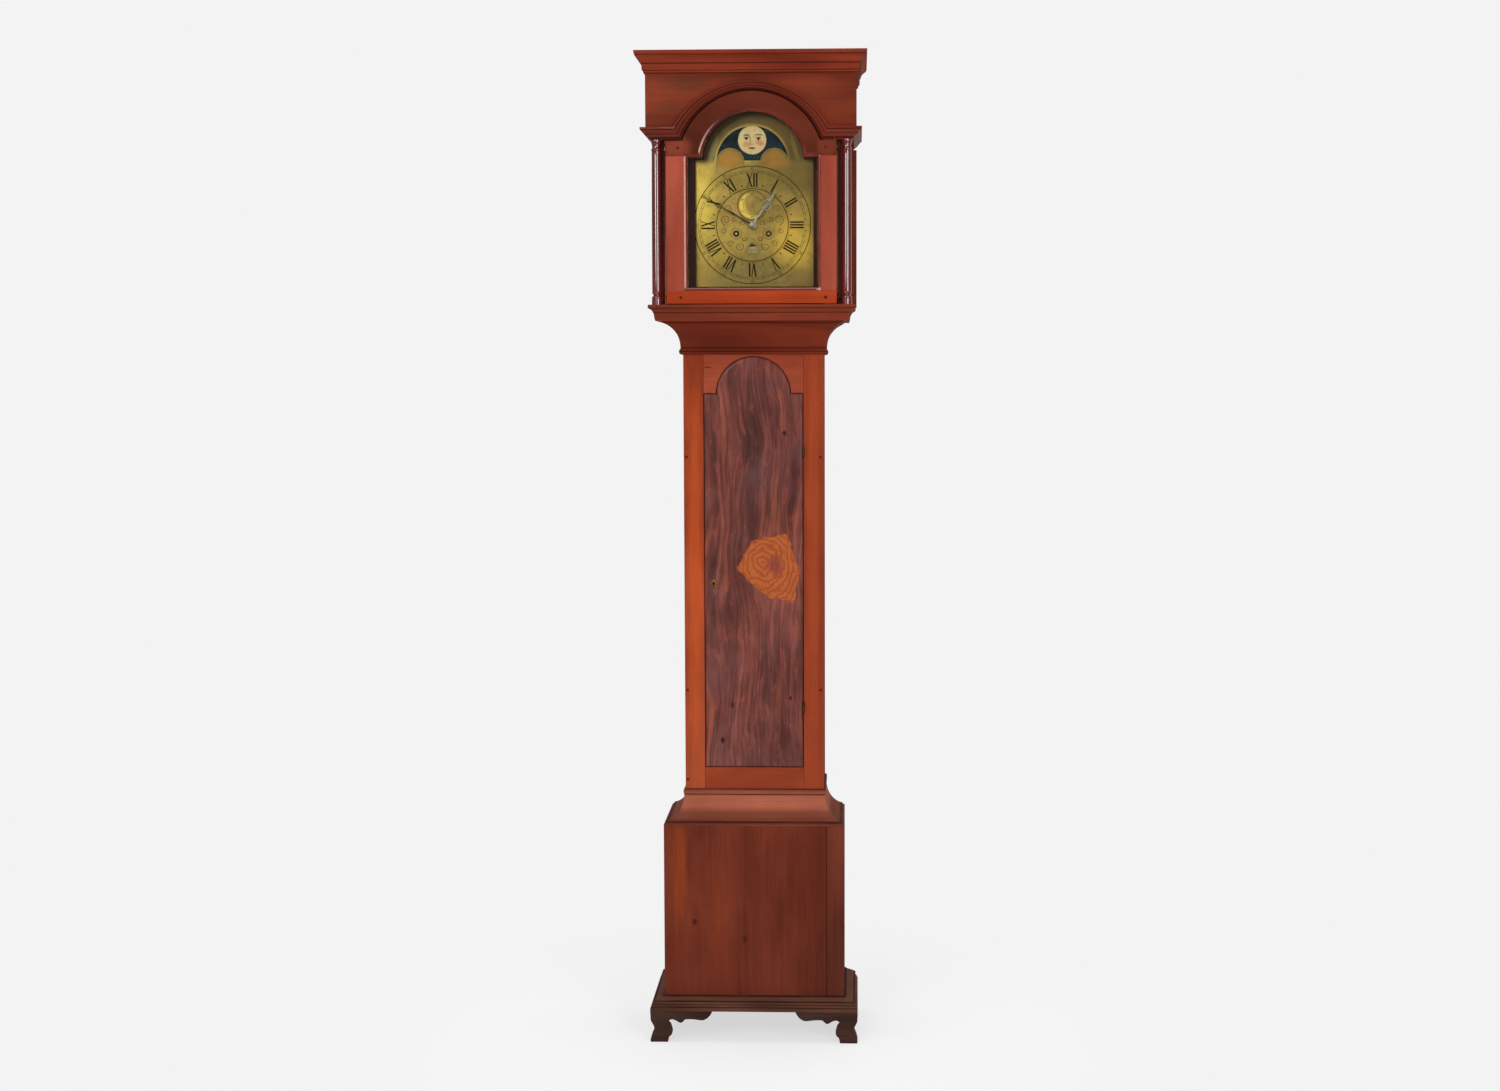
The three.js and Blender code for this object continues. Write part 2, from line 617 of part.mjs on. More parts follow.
const columnIn = 4;
const columnAcross = hoodWallHalf - columnIn;
const columnInset = 18.6;
const columnDeep = entablatureFront + columnInset;
const plinthRadius = 11.5;
const torusRadius = 10.6;
const neckRadius = 7.2;
const columnRingRadius = 9.4;
const shaftRadius = 8.5;
const shaftTopRadius = 7.8;
const capitalRadius = 10.2;
const columnShares = {
  base: 0.036, torus: 0.05, neck: 0.062, ring: 0.075, shaft: 0.1, upper: 0.935, astragal: 0.945, bell: 0.965,
};
const columnHigh = returnBottom - hoodFloor;
const atColumn = (share) => hoodFloor + share * columnHigh;
const columnProfile = [
  [0, hoodFloor], [plinthRadius, hoodFloor], [plinthRadius, atColumn(columnShares.base)],
  [torusRadius, atColumn(columnShares.torus)], [neckRadius, atColumn(columnShares.neck)],
  [columnRingRadius, atColumn(columnShares.ring)], [shaftRadius, atColumn(columnShares.shaft)],
  [shaftTopRadius, atColumn(columnShares.upper)], [columnRingRadius, atColumn(columnShares.astragal)],
  [shaftTopRadius, atColumn(columnShares.bell)], [capitalRadius, returnBottom], [0, returnBottom],
];
for (const [name, side] of [['left', -1], ['right', 1]]) {
  wood(`hood_column_${name}`, turnedUp(columnProfile, side * columnAcross, columnDeep, turnSteps),
    paint.darkWood);
}

const maskShift = 5;
const maskSideLap = 12;
const maskFloorLap = 3;
const maskArchLap = 2;
const maskFrontGap = 3;
const maskUnder = 50;
const maskHalf = openingHalf - maskSideLap;
const maskOpeningBottom = openingBottom + maskFloorLap;
const maskArchRadius = dialArchRadius - maskArchLap;
const maskBack = dialFront - maskFrontGap;
const maskTop = hoodTop - maskUnder;
wood('dial_mask', plate([
  [-postInner + seatGap, hoodFloor], [postInner - seatGap, hoodFloor],
  [postInner - seatGap, maskTop], [-postInner + seatGap, maskTop],
], maskBack - maskThick, maskBack,
[archedOutline(maskShift, maskHalf, maskOpeningBottom, openingShoulder, dialArchCentre, maskArchRadius)]),
paint.darkWood);

// Hood door: a pegged frame with a moulded inner edge, its glass and two pivot straps.
const sightEdge = 8.7;
const sightDepth = 8;
const glassPlane = 12;
const glassThick = 2.6;
const glassRebate = 5;
const sightOutline = (grow) => archedOutline(openingShift, openingHalf, openingBottom, openingShoulder,
  openingArchCentre, openingArchRadius, grow);
const sightShares = [[1, 0], [0.9, 0.3], [0.62, 0.62], [0.28, 0.86], [0, 1]];
const sightRings = [
  { grow: sightEdge, deep: hoodDoorFront - cutOver },
  ...sightShares.map(([grow, deep]) => ({ grow: grow * sightEdge, deep: hoodDoorFront + deep * sightDepth })),
  { grow: 0, deep: hoodDoorFront + glassPlane },
  { grow: glassRebate, deep: hoodDoorFront + glassPlane },
  { grow: glassRebate, deep: hoodDoorBack + cutOver },
];
const sightTunnel = loft(sightOutline(0), sightRings.map(({ grow, deep }) =>
  sightOutline(grow).map(([across, up]) => [across, deep, up])));
wood('hood_door_frame', cut(
  plate(archedOutline(0, hoodDoorHalf, hoodDoorBottom, hoodDoorShoulder, hoodDoorArchCentre,
    hoodDoorArchRadius), hoodDoorFront, hoodDoorBack),
  sightTunnel,
));
addPart('hood_door_glass', plate(sightOutline(glassRebate - seatGap), hoodDoorFront + glassPlane,
  hoodDoorFront + glassPlane + glassThick), paint.glass, 0.05, 0);

const strapLong = 30;
const strapEdge = 4;
for (const [name, low, high, pinLow, pinHigh] of [
  ['top', hoodDoorShoulder, hoodDoorShoulder + strapThick, hoodDoorShoulder,
    hoodDoorShoulder + strapThick + pivotReach],
  ['bottom', hoodDoorBottom - strapThick, hoodDoorBottom, hoodFloor - pivotReach, hoodDoorBottom],
]) {
  metal(`hood_door_pivot_${name}`, join(
    block(hoodDoorHalf - strapLong, hoodDoorHalf, hoodDoorFront + strapEdge - pivotInset / 2,
      hoodDoorBack - strapEdge, low, high),
    post(pivotRadius, pinLow, pinHigh, pivotAcross, pivotDeep, pinSteps),
  ));
}

// Seat board across the cheeks, with slots for the lines and a notch for the pendulum.
const dialClear = 20;
const seatAhead = 8;
const frontPlateFront = dialFront + dialClear;
const seatFront = frontPlateFront - seatAhead;
const seatRear = 62;
const lineHoleRadius = 3;
const notchHalf = 20;
const notchFront = 28;
const lineDeep = -2;
const barrelLineRadius = 22;
const linePlaces = [-1, 1].flatMap((side) => [-1, 1].map((edge) =>
  side * windingAcross + edge * barrelLineRadius));
wood('seatboard', cut(
  block(-waistHalf, waistHalf, seatFront, seatRear, seatUnder, seatTop),
  block(-notchHalf, notchHalf, notchFront, seatRear + cutOver, seatUnder - cutOver, seatTop + cutOver),
  ...linePlaces.map((across) =>
    post(lineHoleRadius, seatUnder - cutOver, seatTop + cutOver, across, lineDeep, pinSteps)),
), paint.pine);

// Movement plates. Heights in this part are measured from the centre of the dial.
const plateHalf = 66;
const plateLow = seatTop;
const plateAbove = 77;
const plateHigh = dialHeight + plateAbove;
const plateThick = 3;
const frontPlateBack = frontPlateFront + plateThick;
const backPlateFront = 15;
const backPlateBack = backPlateFront + plateThick;
const pillarRadius = 4.5;
const pillarAcross = 54;
const pillarLower = -76;
const pillarUpper = 45;
const pivotPlay = 0.35;
const arborRadius = 1.5;
const windingRadius = 2.9;
const centreRadius = 1.8;
const anchorAbove = 70;
const centreShort = 16;
const thirdShort = 21.9;
const centreToThird = secondsAbove - centreShort;
const thirdToEscape = secondsAbove - thirdShort;
const thirdAbove = (secondsAbove ** 2 + centreToThird ** 2 - thirdToEscape ** 2) / (2 * secondsAbove);
const thirdAcross = Math.sqrt(centreToThird ** 2 - thirdAbove ** 2);
const hammerAcross = -52;
const hammerAbove = 66;
const minuteWheelBelow = 30;
const minuteStudRadius = 0.9;
const minuteStudReach = 12;

const winding = [-1, 1].map((side) => [side * windingAcross, dialHeight - windingBelow]);
const centrePlace = [0, dialHeight];
const thirdPlace = [thirdAcross, dialHeight + thirdAbove];
const escapePlace = [0, dialHeight + secondsAbove];
const anchorPlace = [0, dialHeight + anchorAbove];
const hammerPlace = [hammerAcross, dialHeight + hammerAbove];
const minuteWheelPlace = [0, dialHeight - minuteWheelBelow];
const platesOutline = [[-plateHalf, plateLow], [plateHalf, plateLow], [plateHalf, plateHigh],
  [-plateHalf, plateHigh]];
const arborHoles = [
  ...winding.map((place) => ringOf(windingRadius + pivotPlay, ...place)),
  ringOf(centreRadius + pivotPlay, ...centrePlace),
  ...[thirdPlace, escapePlace, anchorPlace, hammerPlace].map((place) =>
    ringOf(arborRadius + pivotPlay, ...place)),
];
metal('front_plate', join(
  plate(platesOutline, frontPlateFront, frontPlateBack, arborHoles),
  rod(minuteStudRadius, frontPlateFront - minuteStudReach, frontPlateFront + plateThick / 2,
    ...minuteWheelPlace),
));

const cockHalf = 23;
const cockArm = 5;
const cockLow = 70;
const cockHigh = 83;
const cockShelf = 5;
const cockRear = 50;
const shelfFront = 30;
const springSlitHalf = 1.5;
const pendulumDeep = 40;
const slitReach = 6;
const cock = cut(
  join(
    ...[-1, 1].map((side) => block(Math.min(side * cockHalf, side * (cockHalf - cockArm)),
      Math.max(side * cockHalf, side * (cockHalf - cockArm)), backPlateBack - plateThick / 2, cockRear,
      dialHeight + cockLow, dialHeight + cockHigh)),
    block(-cockHalf, cockHalf, shelfFront, cockRear, dialHeight + cockHigh - cockShelf,
      dialHeight + cockHigh),
  ),
  block(-springSlitHalf, springSlitHalf, pendulumDeep - slitReach, pendulumDeep + slitReach,
    dialHeight + cockLow, dialHeight + cockHigh + cutOver),
);
const cockFeet = plate([[-cockHalf, plateHigh - 2 * cockArm], [cockHalf, plateHigh - 2 * cockArm],
  [cockHalf, dialHeight + cockHigh], [cockHalf - cockArm, dialHeight + cockHigh],
  [cockHalf - cockArm, plateHigh - cockArm / 2], [cockArm - cockHalf, plateHigh - cockArm / 2],
  [cockArm - cockHalf, dialHeight + cockHigh], [-cockHalf, dialHeight + cockHigh]],
backPlateFront, backPlateBack, [ringOf(arborRadius + pivotPlay, ...anchorPlace)]);
const pillars = [-1, 1].flatMap((side) => [pillarLower, pillarUpper].map((above) =>
  rod(pillarRadius, frontPlateBack, backPlateFront + plateThick / 2, side * pillarAcross,
    dialHeight + above)));
metal('back_plate', join(
  plate(platesOutline, backPlateFront, backPlateBack, arborHoles),
  ...pillars,
  cut(cockFeet, rod(arborRadius + pivotPlay, backPlateFront - cutOver, backPlateBack + cutOver,
    ...anchorPlace)),
  cock,
));

// Toothed rim: pointed teeth on a pitch circle, with one gap or one tooth towards a given angle.
const toothTip = { wheel: 0.8, pinion: 0.7 };
const toothRoot = 1;
function teethOutline(count, radius, unit, place, towards, kind) {
  const start = kind === 'wheel' ? towards - Math.PI / count : towards + Math.PI;
  return Array.from({ length: 2 * count }, (_, step) => {
    const angle = start + step * Math.PI / count;
    const reach = step % 2 ? radius - toothRoot * unit : radius + toothTip[kind] * unit;
    return [place[0] + reach * Math.cos(angle), place[1] + reach * Math.sin(angle)];
  });
}
// Sizes of two meshing wheels from their counts and from the distance of their centres.
function meshOf(wheelTeeth, pinionTeeth, from, to) {
  const distance = Math.hypot(to[0] - from[0], to[1] - from[1]);
  const unit = 2 * distance / (wheelTeeth + pinionTeeth);
  const towards = Math.atan2(to[1] - from[1], to[0] - from[0]);
  return {
    wheel: teethOutline(wheelTeeth, unit * wheelTeeth / 2, unit, from, towards, 'wheel'),
    pinion: teethOutline(pinionTeeth, unit * pinionTeeth / 2, unit, to, towards, 'pinion'),
    radius: unit * wheelTeeth / 2,
  };
}
// Four openings that leave a rim, a hub and four arms.
function crossings(place, outer, inner, armShare, steps = 3) {
  return [0, 1, 2, 3].map((quarter) => {
    const from = (quarter + armShare) * Math.PI / 2;
    const to = (quarter + 1 - armShare) * Math.PI / 2;
    return [...arc(...place, outer, from, to, steps), ...arc(...place, inner, to, from, steps)];
  });
}

const wheelThick = 1.6;
const greatThick = 2.5;
const greatFront = 3;
const centreWheelFront = 8.6;
const thirdWheelFront = -2;
const escapeFront = 5;
const pinionOver = 0.6;
const greatTeeth = 72;
const centreTeeth = 45;
const thirdTeeth = 48;
const pinionTeeth = 6;
const greatMesh = meshOf(greatTeeth, pinionTeeth, winding[1], centrePlace);
const centreMesh = meshOf(centreTeeth, pinionTeeth, centrePlace, thirdPlace);
const thirdMesh = meshOf(thirdTeeth, pinionTeeth, thirdPlace, escapePlace);
const armShare = 0.12;
const greatArcSteps = 4;
const centreArborProud = 6;
const rimShare = 0.84;
const hubShare = 0.3;
const pivotEnd = 2;

// Barrels: drum with two flanges on an arbor that ends in the winding square.
const drumRadius = 21;
const flangeRadius = 25;
const flangeThick = 2;
const drumPlay = 3;
const drumFront = frontPlateBack + drumPlay;
const drumRear = 2;
const squareHalf = 2;
const squareProud = 4;
const squareFront = dialFront - squareProud;
function barrel(place) {
  return join(
    turnedBack([
      [0, drumFront], [flangeRadius, drumFront], [flangeRadius, drumFront + flangeThick],
      [drumRadius, drumFront + flangeThick], [drumRadius, drumRear - flangeThick],
      [flangeRadius, drumRear - flangeThick], [flangeRadius, drumRear], [0, drumRear],
    ], ...place, turnSteps),
    rod(windingRadius, frontPlateFront - flangeThick, backPlateBack - seatGap, ...place),
    block(place[0] - squareHalf, place[0] + squareHalf, squareFront, frontPlateFront,
      place[1] - squareHalf, place[1] + squareHalf),
  );
}
metal('going_barrel', barrel(winding[1]));
metal('going_great_wheel', plate(greatMesh.wheel, greatFront, greatFront + greatThick, [
  ringOf(windingRadius + seatGap, ...winding[1]),
  ...crossings(winding[1], greatMesh.radius * rimShare, greatMesh.radius * hubShare, armShare, greatArcSteps),
]));
const strikeWheelRadius = 33;
const strikeTeeth = 66;
const strikeUnit = 2 * strikeWheelRadius / strikeTeeth;
metal('strike_barrel', join(
  barrel(winding[0]),
  plate(teethOutline(strikeTeeth, strikeWheelRadius, strikeUnit, winding[0], 0, 'wheel'), drumRear - pinionOver,
    greatFront + greatThick),
));

metal('centre_wheel', join(
  plate(centreMesh.wheel, centreWheelFront, centreWheelFront + wheelThick,
    crossings(centrePlace, centreMesh.radius * rimShare, centreMesh.radius * hubShare, armShare)),
  plate(greatMesh.pinion, greatFront - pinionOver, greatFront + greatThick + pinionOver),
  rod(centreRadius, dialFront - centreArborProud, backPlateBack - pivotEnd / 2, ...centrePlace),
));
metal('third_wheel', join(
  plate(thirdMesh.wheel, thirdWheelFront, thirdWheelFront + wheelThick,
    crossings(thirdPlace, thirdMesh.radius * rimShare, thirdMesh.radius * hubShare, armShare)),
  plate(centreMesh.pinion, centreWheelFront - pinionOver, centreWheelFront + wheelThick + pinionOver),
  rod(arborRadius, frontPlateFront + pivotEnd / 2, backPlateBack - pivotEnd / 2, ...thirdPlace),
));
const escapeTeeth = 30;
const escapeRadius = 17.5;
const escapeRoot = 14.4;
const escapeRim = 12.4;
const escapeOutline = Array.from({ length: 2 * escapeTeeth }, (_, step) => {
  const angle = (step + (step % 2 ? 0.55 : 0)) * Math.PI / escapeTeeth;
  const reach = step % 2 ? escapeRadius : escapeRoot;
  return [escapePlace[0] + reach * Math.cos(angle), escapePlace[1] + reach * Math.sin(angle)];
});
metal('escape_wheel', join(
  plate(escapeOutline, escapeFront, escapeFront + wheelThick,
    crossings(escapePlace, escapeRim, escapeRim * hubShare, armShare)),
  plate(thirdMesh.pinion, thirdWheelFront - pinionOver, thirdWheelFront + wheelThick + pinionOver),
  rod(arborRadius, dialFront - pinionOver, backPlateBack - pivotEnd / 2, ...escapePlace),
));

// Anchor: the crescent with its two pallets, the arbor, and the crutch that straddles the rod.
const anchorSteps = 8;
const palletClear = 1.3;
const crescentThin = 1.4;
const crescentWide = 3.6;
const anchorHub = 4.6;
const palletAngle = 0.86;
const nibAngle = 0.1;
const anchorThick = 2.4;
const anchorInner = escapeRadius + palletClear + crescentThin;
const upright = Math.PI / 2;
const anchorOutline = [
  ...arc(...escapePlace, escapeRadius + palletClear, upright - palletAngle, upright - palletAngle + nibAngle, 1),
  ...arc(...escapePlace, anchorInner, upright - palletAngle + nibAngle, upright + palletAngle - nibAngle,
    anchorSteps),
  ...arc(...escapePlace, escapeRadius + palletClear, upright + palletAngle - nibAngle, upright + palletAngle, 1),
  ...arc(...escapePlace, anchorInner + crescentWide, upright + palletAngle, upright - palletAngle,
    anchorSteps),
];
const crutchFront = 22;
const crutchThick = 2;
const crutchHalf = 2;
const crutchFoot = -10;
const rodHalf = 1.5;
const forkGap = 0.8;
const forkThick = 1.8;
const forkHigh = 8;
const prongReach = 4;
const crutchLow = dialHeight + crutchFoot;
const forkOuter = rodHalf + forkGap + forkThick;
metal('anchor', join(
  plate(anchorOutline, escapeFront - pinionOver, escapeFront - pinionOver + anchorThick),
  rod(anchorHub, escapeFront - pinionOver, escapeFront - pinionOver + anchorThick, ...anchorPlace),
  rod(arborRadius, frontPlateFront + pivotEnd / 2, crutchFront + crutchThick + pivotEnd, ...anchorPlace),
  block(-crutchHalf, crutchHalf, crutchFront, crutchFront + crutchThick, crutchLow, dialHeight + anchorAbove),
  block(-forkOuter, forkOuter, crutchFront, crutchFront + 2 * crutchThick, crutchLow, crutchLow + forkHigh),
  ...[-1, 1].map((side) => block(Math.min(side * (rodHalf + forkGap), side * forkOuter),
    Math.max(side * (rodHalf + forkGap), side * forkOuter), crutchFront + crutchThick,
    pendulumDeep + prongReach, crutchLow, crutchLow + forkHigh)),
), paint.steel);

// Pendulum: spring, block, long rod and rating nut; the bob is threaded on the rod.
const pendulumLength = 994;
const springHalf = 0.5;
const springDeepHalf = 4;
const blockHalf = 4;
const blockDeepHalf = 5;
const blockHigh = 5;
const blockLift = 0.5;
const bobRadius = 57;
const bobHalf = 12.5;
const bobEdge = 1.5;
const rodTail = 80;
const nutRadius = 7;
const nutHigh = 7;
const pivotHeight = dialHeight + anchorAbove;
const bobHeight = pivotHeight - pendulumLength;
const blockLow = dialHeight + cockHigh + blockLift;
metal('pendulum_rod', join(
  block(-blockHalf, blockHalf, pendulumDeep - blockDeepHalf, pendulumDeep + blockDeepHalf, blockLow,
    blockLow + blockHigh),
  block(-springHalf, springHalf, pendulumDeep - springDeepHalf, pendulumDeep + springDeepHalf,
    pivotHeight - 2 * blockHigh, blockLow + blockHigh / 2),
  post(rodHalf, bobHeight - rodTail, pivotHeight - blockHigh, 0, pendulumDeep, smallSteps),
  post(nutRadius, bobHeight - bobRadius - nutHigh - seatGap, bobHeight - bobRadius - seatGap, 0,
    pendulumDeep, smallSteps),
), paint.steel);
const bobShares = [[0, 1], [0.35, 0.92], [0.7, 0.6], [0.92, 0.25]];
const bobFace = [...bobShares.map(([wide, deep]) => [wide * bobRadius, deep * bobHalf]), [bobRadius, bobEdge]];
const bobProfile = [...bobFace.map(([radius, deep]) => [radius, pendulumDeep - deep]),
  ...[...bobFace].reverse().map(([radius, deep]) => [radius, pendulumDeep + deep])];
metal('pendulum_bob', cut(
  turnedBack(bobProfile, 0, bobHeight, 2 * turnSteps),
  post(rodHalf + seatGap, bobHeight - bobRadius - cutOver, bobHeight + bobRadius + cutOver, 0, pendulumDeep,
    smallSteps),
));

// Motion work between the front plate and the dial.
const cannonGap = 4;
const hourGap = 4.5;
const cannonBoreProud = 7;
const cannonFront = frontPlateFront - cannonGap;
const hourFront = cannonFront - hourGap;
const cannonTeeth = 30;
const hourTeeth = 72;
const cannonPipe = 3.1;
const hourPipe = 4.6;
const cannonMesh = meshOf(cannonTeeth, cannonTeeth, centrePlace, minuteWheelPlace);
const hourMesh = meshOf(hourTeeth, pinionTeeth, centrePlace, minuteWheelPlace);
const minuteHandProud = 14.2;
const minuteHubDeep = 3.4;
const hourPipeProud = 5.6;
const minuteHandFront = dialFront - minuteHandProud;
const minuteHandBack = minuteHandFront + minuteHubDeep;
const hourPipeFront = dialFront - hourPipeProud;
metal('cannon_wheel', cut(
  join(plate(cannonMesh.wheel, cannonFront, cannonFront + wheelThick),
    rod(cannonPipe, minuteHandBack + seatGap, cannonFront + wheelThick + pinionOver, ...centrePlace)),
  rod(centreRadius + seatGap, dialFront - cannonBoreProud, cannonFront + cutOver, ...centrePlace),
));
metal('minute_wheel', cut(
  join(plate(cannonMesh.pinion, cannonFront, cannonFront + wheelThick),
    plate(hourMesh.pinion, hourFront - pinionOver, cannonFront + pinionOver)),
  rod(minuteStudRadius + seatGap / 2, hourFront - cutOver, cannonFront + cutOver, ...minuteWheelPlace),
));
metal('hour_wheel', cut(
  join(plate(hourMesh.wheel, hourFront, hourFront + wheelThick),
    rod(hourPipe, hourPipeFront, hourFront + wheelThick + pinionOver, ...centrePlace)),
  rod(cannonPipe + seatGap, hourPipeFront - cutOver, hourFront + cutOver, ...centrePlace),
));

// Hands, drawn upright and then turned to the time on the dial.
const minuteTurn = Math.PI / 3;
const hourTurn = -0.62;
function turned(outline, angle) {
  return outline.map(([across, up]) => [
    across * Math.cos(angle) - up * Math.sin(angle),
    dialHeight + across * Math.sin(angle) + up * Math.cos(angle)]);
}
const mirrored = (half) => [...half, ...[...half].reverse().map(([across, up]) => [-across, up])];
const minuteHandShort = 20.4;
const hourHandShort = 36.5;
const minuteHandLength = dialHalf - minuteHandShort;
const hourHandLength = minuteHandLength - hourHandShort;
const handThick = 1.2;
const minutePlateFront = minuteHandFront + handThick;
const handHub = 6.4;
const minuteHalfWide = 3;
const minuteShares = [[0.8, 0], [0.72, 0.1], [0.5, 0.3], [0.62, 0.34], [1, 0.4], [0.62, 0.46], [0.34, 0.5],
  [0.26, 0.9], [0.16, 1]];
const minuteOutline = mirrored(minuteShares.map(([wide, along]) =>
  [wide * minuteHalfWide, along * minuteHandLength]));
metal('minute_hand', join(
  plate(turned(minuteOutline, minuteTurn), minutePlateFront, minutePlateFront + handThick),
  rod(handHub, minuteHandFront, minuteHandBack, ...centrePlace, smallSteps),
), paint.steel);
const hourHub = 8;
const hourHalfWide = 11;
const hourHandProud = 7.2;
const hourHubOver = 0.6;
const hourHandFront = dialFront - hourHandProud;
const hourShares = [[0.22, 0], [0.14, 0.14], [0.14, 0.3], [0.3, 0.34], [0.16, 0.38], [0.2, 0.46],
  [0.7, 0.5], [1, 0.58], [0.72, 0.68], [0.34, 0.74], [0.2, 0.8], [0.3, 0.86], [0.1, 0.93], [0.04, 1]];
const hourOutline = mirrored(hourShares.map(([wide, along]) => [wide * hourHalfWide, along * hourHandLength]));
const hourPierce = mirrored([[0.06, 0.53], [0.44, 0.55], [0.62, 0.59], [0.4, 0.655], [0.06, 0.69]]
  .map(([wide, along]) => [wide * hourHalfWide, along * hourHandLength]));
metal('hour_hand', cut(
  join(plate(turned(hourOutline, hourTurn), hourHandFront, hourHandFront + handThick,
    [turned(hourPierce, hourTurn)]),
  rod(hourHub, hourHandFront - hourHubOver, hourHandFront + handThick + hourHubOver, ...centrePlace,
    smallSteps)),
  rod(hourPipe + seatGap, hourHandFront - cutOver, hourHandFront + cutOver, ...centrePlace, smallSteps),
), paint.steel);

// Dial plate with its openings, its feet, the moon stud and the studs of the calendar ring.
const dialBack = dialFront + dialThickness;
const windingHole = 5.3;
const centreHole = 5.6;
const secondsHole = 2.4;
const dialFootRadius = 3;
const dialFootAcross = 50;
const dialFootLower = -85;
const dialFootUpper = 66;
const moonStud = 2;
const moonCap = 4;
const moonDiscGap = 0.6;
const moonDiscThick = 1.2;
const moonCapGap = 0.4;
const moonCapThick = 0.6;
const moonDiscFront = dialBack + moonDiscGap;
const capFront = moonDiscFront + moonDiscThick + moonCapGap;
const capBack = capFront + moonCapThick;
const calendarInner = 50;
const calendarWide = 18;
const calendarBehind = 0.5;
const calendarThick = 1.2;
const calendarStud = 3.6;
const calendarCapOver = 1.8;
const calendarCapGap = 0.4;
const calendarOuter = calendarInner + calendarWide;
const calendarFront = capBack + calendarBehind;
const calendarStudOut = calendarInner - calendarStud - calendarCapGap;
const calendarCap = calendarStud + calendarCapOver;
const calendarCapThick = 0.8;
const daysOfMonth = 31;
const calendarStudAngles = [35, 145, -70, -110].map((angle) => angle * Math.PI / 180);

const archBand = 35;
const discLap = 3;
const moonOpeningFloor = 4;
const humpApartHalf = 18.5;
const humpLap = 0.5;
const humpSteps = 9;
const skySteps = 20;
const discSteps = 36;
const moonOpeningRadius = dialArchRadius - archBand;
const moonDiscRadius = moonOpeningRadius + discLap;
const humpRadius = (moonOpeningRadius + humpLap - humpApartHalf) / 2;
const humpAcross = humpApartHalf + humpRadius;
const floorAngle = Math.asin(moonOpeningFloor / humpRadius);
const meetAcross = (moonOpeningRadius ** 2 - humpRadius ** 2 + humpAcross ** 2) / (2 * humpAcross);
const meetUp = Math.sqrt(moonOpeningRadius ** 2 - meetAcross ** 2);
const humpEnd = Math.atan2(meetUp, meetAcross - humpAcross);
const skyEnd = Math.atan2(meetUp, meetAcross);
const moonOpening = [
  ...arc(humpAcross, dialArchCentre, humpRadius, Math.PI - floorAngle, humpEnd, humpSteps),
  ...arc(0, dialArchCentre, moonOpeningRadius, skyEnd, Math.PI - skyEnd, skySteps).slice(1, -1),
  ...arc(-humpAcross, dialArchCentre, humpRadius, Math.PI - humpEnd, floorAngle, humpSteps),
];
const calendarHalfWide = 11.5;
const calendarHalfHigh = 5.8;
const calendarRaise = 0.2;
const calendarArchShare = 0.86;
const calendarArchLean = 0.2;
const calendarArchSteps = 5;
const calendarMiddle = dialHeight + calendarRaise - (calendarInner + calendarOuter) / 2;
const calendarHole = [
  [-calendarHalfWide, calendarMiddle - calendarHalfHigh], [calendarHalfWide, calendarMiddle - calendarHalfHigh],
  [calendarHalfWide, calendarMiddle + calendarHalfHigh],
  ...arc(0, calendarMiddle + calendarHalfHigh, calendarHalfWide * calendarArchShare,
    calendarArchLean, Math.PI - calendarArchLean, calendarArchSteps),
  [-calendarHalfWide, calendarMiddle + calendarHalfHigh],
];
const dialTop = dialHeight + dialHalf;
const dialFoot = Math.asin((dialTop - dialArchCentre) / dialArchRadius);
const dialOutline = [
  [-dialHalf, dialHeight - dialHalf], [dialHalf, dialHeight - dialHalf], [dialHalf, dialTop],
  ...arc(0, dialArchCentre, dialArchRadius, dialFoot, Math.PI - dialFoot, archSteps),
  [-dialHalf, dialTop],
];
const rootIn = dialThickness / 2;
metal('dial_plate', join(
  plate(dialOutline, dialFront, dialBack, [
    moonOpening, calendarHole,
    ...winding.map((place) => ringOf(windingHole, ...place, smallSteps)),
    ringOf(centreHole, ...centrePlace, smallSteps), ringOf(secondsHole, ...escapePlace, pinSteps),
  ]),
  ...[-1, 1].flatMap((side) => [dialFootLower, dialFootUpper].map((above) =>
    rod(dialFootRadius, dialBack - rootIn, frontPlateFront, side * dialFootAcross, dialHeight + above, studSteps))),
  rod(moonStud, dialBack - rootIn, capBack, 0, dialArchCentre, studSteps),
  rod(moonCap, capFront, capBack, 0, dialArchCentre, studSteps),
  ...calendarStudAngles.flatMap((angle) => {
    const place = [calendarStudOut * Math.cos(angle), dialHeight + calendarStudOut * Math.sin(angle)];
    const capStart = calendarFront + calendarThick + calendarCapGap;
    return [rod(calendarStud, dialBack - rootIn, capStart + calendarCapThick, ...place, studSteps),
      rod(calendarCap, capStart, capStart + calendarCapThick, ...place, studSteps)];
  }),
));
addPart('moon_disc', plate(ringOf(moonDiscRadius, 0, dialArchCentre, discSteps), moonDiscFront,
  moonDiscFront + moonDiscThick, [ringOf(moonStud + seatGap, 0, dialArchCentre, studSteps)]), paint.sky, 0.6, 0);
metal('calendar_ring', plate(ringOf(calendarOuter, ...centrePlace, daysOfMonth), calendarFront,
  calendarFront + calendarThick, [ringOf(calendarInner, ...centrePlace, daysOfMonth)]));

